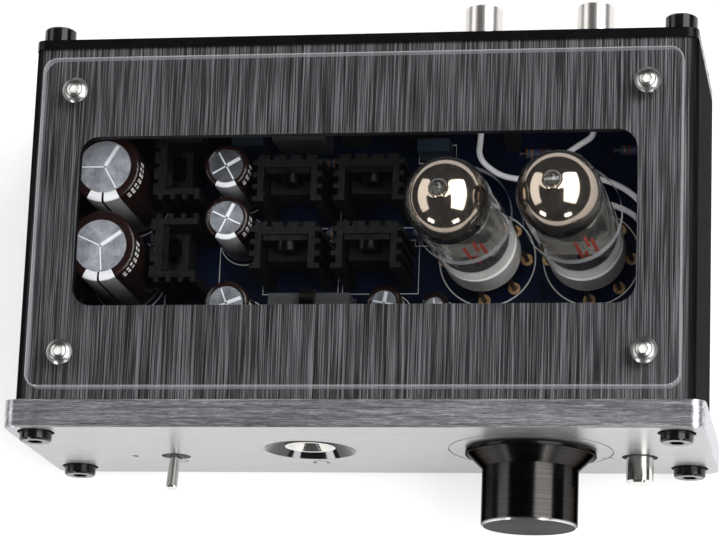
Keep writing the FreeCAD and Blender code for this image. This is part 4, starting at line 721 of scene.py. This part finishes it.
def getter_paint():
    """Metal mirror flashed inside the bulb, brown and thin at its lower edge."""
    paint = Paint("getter_mirror", 1.0, Coat_Weight=0.8, Coat_Roughness=0.04,
                  Specular_Tint=(0.15, 0.11, 0.08, 1))
    height = paint.parts(paint.place)[2]
    wave = paint.noise(2.2, detail=3.0)
    edge = paint.sum("ADD", height, paint.sum("MULTIPLY", wave, 1.6 * MM))
    film = paint.ramp(paint.span(edge, 0, 1, 0.0638, 0.0748),
                      (0.0, (0.045, 0.025, 0.013)), (0.22, (0.13, 0.088, 0.055)),
                      (0.6, (0.2, 0.15, 0.105)), (1.0, (0.38, 0.305, 0.235)))
    paint.colour(film)
    paint.gloss(paint.span(paint.noise(3.0), 0.07, 0.14, 0.3, 0.7))
    paint.emboss(paint.noise(6.0, detail=1.0), 0.05, 0.5)
    return paint


def dome_profile(inset):
    """Radius and height of the bulb's top from the neck of its tip down to its widest part."""
    radius, tip, blend = GLASS_RADIUS - inset, TIP_RADIUS - inset, TIP_BLEND + inset
    slant = math.asin((tip + blend) / (radius + blend))
    rise = DOME_HEIGHT + (radius + blend) * math.cos(slant)
    points = []
    for i in range(6):
        a = math.radians(180) + (math.radians(90) - slant) * i / 6
        points.append((tip + blend + blend * math.cos(a), rise + blend * math.sin(a)))
    for i in range(25):
        a = slant + (math.radians(90) - slant) * i / 24
        points.append((radius * math.sin(a), DOME_HEIGHT + radius * math.cos(a)))
    return points


def add_getters(material):
    """The mirror film in each bulb's dome, with a wavy lower edge."""
    count = 72
    for side in SOCKETS:
        rows = []
        for inset, order in ((0.06, 1), (0.14, -1)):
            side_rows = []
            for radius, height in dome_profile(inset):
                side_rows.append([(radius, height)] * count)
            for step in range(1, 5):
                row = []
                for i in range(count):
                    a = 2 * math.pi * i / count
                    drop = 2.4 + 0.35 * math.sin(3 * a) + 0.2 * math.sin(7 * a)
                    row.append((GLASS_RADIUS - inset, DOME_HEIGHT - drop * step / 4))
                side_rows.append(row)
            rows += side_rows[::order]
        shape = Shape().grid([[(radius * math.cos(2 * math.pi * i / count),
                                radius * math.sin(2 * math.pi * i / count), height)
                               for i, (radius, height) in enumerate(row)][::-1]
                              for row in rows])
        shape.moved(tube_frame(side)).add(side + "_tube_getter", "chassis", "support_wire",
                                          material)


def add_tube_marks(material):
    """A plain red mark of short bars printed on the front of each bulb."""
    for side in SOCKETS:
        def wrap(x, y, z):
            a = MARK_TURN + x / GLASS_RADIUS
            return (z * math.cos(a), z * math.sin(a), y)
        shape = Shape()
        low, high = GLASS_RADIUS + 0.01, GLASS_RADIUS + 0.05
        for column, (bottom, top) in enumerate(((14.0, 26.5), (12.5, 19.0), (20.5, 27.5),
                                                (15.0, 24.0))):
            start = 1.15 * column - 2.2
            outline = [(start, bottom), (start + 0.7, bottom), (start + 0.7, top), (start, top)]
            shape.prism(outline, low, high, wrap)
        shape.moved(tube_frame(side)).add(side + "_tube_mark", "chassis", "tube_glass", material)


def stripe_paint():
    """White ink stripe, white on the upward-facing lip and painted near-black down the side of the
    sleeve as painted shade.
    """
    paint = plain("stripe_print", (0.66, 0.66, 0.67), 0.5, 0.12, (0.3, 0.4))
    white = paint.shader.inputs["Base Color"].links[0].from_socket
    # painted shade: the stripe stays white only where it faces up and turns near-black down the side
    lit_top_share = paint.span(paint.facing(Z_AXIS), 0, 1, 0.05, 0.5)
    return paint.colour(paint.mix(lit_top_share, (0.05, 0.05, 0.056), white))


def add_capacitor_tops(sleeve, stripe, bright, ink):
    """Rolled sleeve lips, pale stripes, vent lines and small print."""
    lips, stripes, vents, marks = Shape(), Shape(), Shape(), Shape()
    steps = 12
    for x, y, radius, height, arms, turn in CAPACITORS:
        top = BOARD_TOP + height
        inner = radius - (2.1 if radius > LARGE_CAN else 1.2)
        roll = [(inner, -0.35), (radius - 0.3, -0.9), (radius + 0.04, -0.9),
                (radius + 0.04, -0.45), (radius - 0.15, -0.02), (radius - 0.5, 0.2),
                (radius - 0.9, 0.28), (inner + 0.15, 0.2), (inner, 0.05)]
        lips.lathe(roll[::-1], (x, y, top), count=72)
        side = BOARD_TOP + height * 0.1
        line = [(inner + 0.1, top + 0.24), (radius - 0.85, top + 0.32), (radius - 0.45, top + 0.24),
                (radius - 0.08, top), (radius + 0.09, top - 0.45), (radius + 0.09, side)]
        for start, end in ((-117, -92), (-88, -62)) if radius > LARGE_CAN else ((-118, -60),):
            rows = []
            for i in range(steps + 1):
                a = math.radians(start + (end - start) * i / steps)
                ring = line + [(r - 0.04, z - 0.03) for r, z in reversed(line)]
                rows.append([(x + r * math.cos(a), y + r * math.sin(a), z) for r, z in ring])
            first = len(stripes.vertices)
            stripes.grid(rows, round_rows=False)
            across = 2 * len(line)
            stripes.faces.append(tuple(first + i for i in reversed(range(across))))
            stripes.faces.append(tuple(first + steps * across + i for i in range(across)))
        # vent lines: raised strips of pale metal, a painted highlight for the score lines catching
        # the light; the first is drawn wider
        for arm in range(arms):
            a = math.radians(turn + 360 * arm / arms)
            points = [(x + r * math.cos(a), y + r * math.sin(a)) for r in (0.25, inner - 0.3)]
            vents.ribbon(points, 0.35 if arm else 0.8, top + 0.02, top + 0.07)
        for row in range(2):
            deep = top - 1.6 - 1.7 * row

            def wrap(u, v, w, deep=deep):
                a = math.radians(-20) + u / radius
                return (x + w * math.cos(a), y + w * math.sin(a), deep + v)
            for letter in range(7 if radius > LARGE_CAN else 4):
                start = 1.25 * letter - (4.2 if radius > LARGE_CAN else 2.2)
                tall = 1.1 if (letter + row) % 3 else 0.6
                marks.prism([(start, 0), (start + 0.75, 0), (start + 0.75, tall), (start, tall)],
                            radius + 0.02, radius + 0.07, wrap)
    lips.add("capacitor_lips", "chassis", "capacitor_sleeve", sleeve)
    stripes.add("capacitor_stripes", "chassis", "capacitor_sleeve", stripe)
    vents.add("capacitor_vents", "chassis", "capacitor_can", bright)
    marks.add("capacitor_print", "chassis", "capacitor_sleeve", ink)


def add_board_print(material):
    """White printed rings and outlines round the parts on the board."""
    shape = Shape()
    low, high = BOARD_TOP + 0.005, BOARD_TOP + 0.04
    for x, y, radius, *_ in CAPACITORS:
        shape.ribbon(loop((x, y), radius + 0.6, 64), 0.22, low, high, closed=True)
    for x, y, half_x, half_y in OUTLINED:
        corners = [(x - half_x, y - half_y), (x + half_x, y - half_y), (x + half_x, y + half_y),
                   (x - half_x, y + half_y)]
        shape.ribbon(corners, 0.22, low, high, closed=True)
    for centre in SOCKETS.values():
        ring = loop((centre.x + 0.4, centre.y + 0.2), 10.75, 96)
        shape.ribbon(ring, 0.3, low, high, closed=True)
    shape.add("board_print", "chassis", "socket_ceramic", material)


def add_screw_details(ring, floor):
    """A near-black ring of painted shade at the step round each cover screw's key hole, and a pale
    disc of painted light at the bottom of the hole.
    """
    def below_crown(radius):
        return HEAD_DOME - math.sqrt(HEAD_DOME ** 2 - radius ** 2)
    low, high = (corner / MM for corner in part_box("window_cover_screws"))
    crown = high.z + below_crown(KEY_RADIUS * math.cos(math.radians(30)))
    hole = crown - KEY_DEPTH
    step = 1.75
    rings, floors = Shape(), Shape()
    for x in (low.x + HEAD_RADIUS, high.x - HEAD_RADIUS):
        for y in (low.y + HEAD_RADIUS, high.y - HEAD_RADIUS):
            profile = []
            for radius, proud in ((step - 0.11, -0.05), (step + 0.11, -0.05), (step + 0.11, 0.02),
                                  (step, 0.04), (step - 0.11, 0.02)):
                profile.append((radius, crown - below_crown(radius) + proud))
            rings.lathe(profile, (x, y, 0), count=48)
            floors.prism(loop((x, y), KEY_RADIUS - 0.05, 6), hole - 0.05, hole + 0.25)
    rings.add("cover_screw_steps", "chassis", "stainless_screw", ring)
    floors.add("cover_screw_hole_bottoms", "chassis", "stainless_screw", floor)


def add_panel_ink_and_groove_shade(material):
    """Dark painted shade in the ring engraved round the volume knob."""
    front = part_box("front_panel")[0].y / MM
    centre = middle("volume_shaft") / MM
    # painted shade: a dark ring laid in the engraved groove
    profile = [(17.66, 0.12), (17.66, 0.19), (17.94, 0.19), (17.94, 0.12)]
    Shape().lathe(profile, (centre.x, front, centre.z), "Y", 96).add(
        "dial_ring_painted_shade", "chassis", "switch_case", material)

    def onto_panel(x, y, z):
        return (x, front - z, y)
    signs = Shape()
    toggle, jack = middle("power_toggle") / MM, middle("headphone_jack_bezel") / MM
    button = middle("source_button") / MM
    low, high = 0.004, 0.03
    power = (toggle.x + 0.2, toggle.z - 6.2)
    signs.ribbon(arc(power, 1.3, 125, 415, 32), 0.3, low, high, onto_panel)
    signs.ribbon([(power[0], power[1] + 0.3), (power[0], power[1] + 1.7)], 0.3, low, high,
                 onto_panel)
    phones = (jack.x, jack.z - 13.4)
    signs.ribbon(arc(phones, 1.5, -10, 190, 32), 0.3, low, high, onto_panel)
    for side in (-1, 1):
        signs.ribbon([(phones[0] + side * 1.5, phones[1] - 1.3),
                      (phones[0] + side * 1.5, phones[1] - 0.1)], 0.8, low, high, onto_panel)
    for step in range(5):
        start = button.x - 13.5 + 1.7 * step
        signs.ribbon([(start, button.z - 0.6), (start + 0.9, button.z - 0.6)], 0.5, low, high,
                     onto_panel)
    signs.add("panel_signs", "chassis", "switch_case", material)


# ---------------------------------------------------------------- studio

def add_softbox(name, azimuth, elevation, distance, width, height, radiance, mirrored=True):
    """A soft rectangular light that faces the amplifier. Azimuth 0 is in front, 90 at its right."""
    turn, rise = math.radians(azimuth), math.radians(elevation)
    out = Vector((math.sin(turn) * math.cos(rise), -math.cos(turn) * math.cos(rise),
                  math.sin(rise)))
    data = bpy.data.lights.new(name, "AREA")
    data.shape = "RECTANGLE"
    data.size, data.size_y = width, height
    data.energy = radiance * math.pi * width * height
    light = bpy.data.objects.new(name, data)
    bpy.context.scene.collection.objects.link(light)
    light.rotation_mode = "QUATERNION"
    light.location = out * distance + Vector((0, 0, 0.06))
    light.rotation_quaternion = out.to_track_quat("Z", "Y")
    light.visible_camera = False
    light.visible_glossy = mirrored


def add_studio():
    """A pale floor, a dim surround and soft lights at both sides, above and in front."""
    world = bpy.data.worlds.new("surround")
    world.use_nodes = True
    nodes, links = world.node_tree.nodes, world.node_tree.links
    seen = nodes.new("ShaderNodeBackground")
    seen.inputs["Color"].default_value = (1.0, 1.0, 1.0, 1)
    mix = nodes.new("ShaderNodeMixShader")
    links.new(nodes.new("ShaderNodeLightPath").outputs["Is Camera Ray"], mix.inputs[0])
    nodes["Background"].inputs["Color"].default_value = (0.93, 0.95, 1.0, 1)
    nodes["Background"].inputs["Strength"].default_value = 0.05
    links.new(nodes["Background"].outputs[0], mix.inputs[1])
    links.new(seen.outputs[0], mix.inputs[2])
    links.new(mix.outputs[0], nodes["World Output"].inputs["Surface"])
    bpy.context.scene.world = world

    radius, count = 0.5, 96
    ring = [(radius * math.cos(2 * math.pi * i / count), radius * math.sin(2 * math.pi * i / count),
             0.0) for i in range(count)]
    mesh = bpy.data.meshes.new("floor")
    mesh.from_pydata(ring, [], [list(range(count))])
    floor = bpy.data.objects.new("floor", mesh)
    bpy.context.scene.collection.objects.link(floor)
    paint = Paint("floor", 0.0, 0.8, Emission_Color=(1, 1, 1, 1), Emission_Strength=0.5)
    paint.colour(paint.ramp(paint.noise(30.0), (0.3, (0.52, 0.52, 0.52)),
                            (0.7, (0.55, 0.55, 0.55))))
    mesh.materials.append(paint.material)
    bpy.context.scene.view_settings.view_transform = "Standard"

    add_softbox("key", 94, 48, 1.0, 1.6, 0.75, 4.6)
    add_softbox("fill", -94, 30, 1.0, 1.5, 0.5, 1.9)
    add_softbox("ceiling", 30, 78, 1.2, 1.3, 1.3, 2.2, mirrored=False)
    add_softbox("front_left", -32, 8, 0.8, 0.2, 0.14, 9.0)
    add_softbox("front_right", 26, 8, 0.8, 0.2, 0.14, 9.0)


# ---------------------------------------------------------------- the picture

add_camera()
add_studio()
MATERIALS = paint_nodes()
add_getters(getter_paint().material)
add_tube_marks(plain("red_print", (0.2, 0.03, 0.02), 0.5, 0.3, (0.4, 0.5)).material)
WHITE_PRINT = plain("white_print", (0.6, 0.6, 0.58), 0.4, 0.2, (0.5, 0.6)).material
# the vent lines' pale metal is a painted highlight
add_capacitor_tops(MATERIALS["capacitor_sleeve"],
                   stripe_paint().material,
                   plain("vent_painted_highlight", (0.86, 0.87, 0.9), 0.3, 0.1, (0.3, 0.4), metallic=0.3
                         ).material, WHITE_PRINT)
add_board_print(WHITE_PRINT)
# the cover screws get a ring of painted shade at the step and a disc of painted light in the key
# hole
add_screw_details(plain("screw_step_painted_shade", (0.03, 0.03, 0.03), 0.3, 0.2, (0.3, 0.4)).material,
                  plain("screw_hole_painted_light", (0.62, 0.61, 0.58), 0.3, 0.3, (0.4, 0.5)).material)
# grey ink for the signs, also used as painted shade in the dial ring's groove
add_panel_ink_and_groove_shade(plain("grey_ink_and_groove_shade", (0.06, 0.06, 0.065), 0.3, 0.3, (0.4, 0.5)).material)
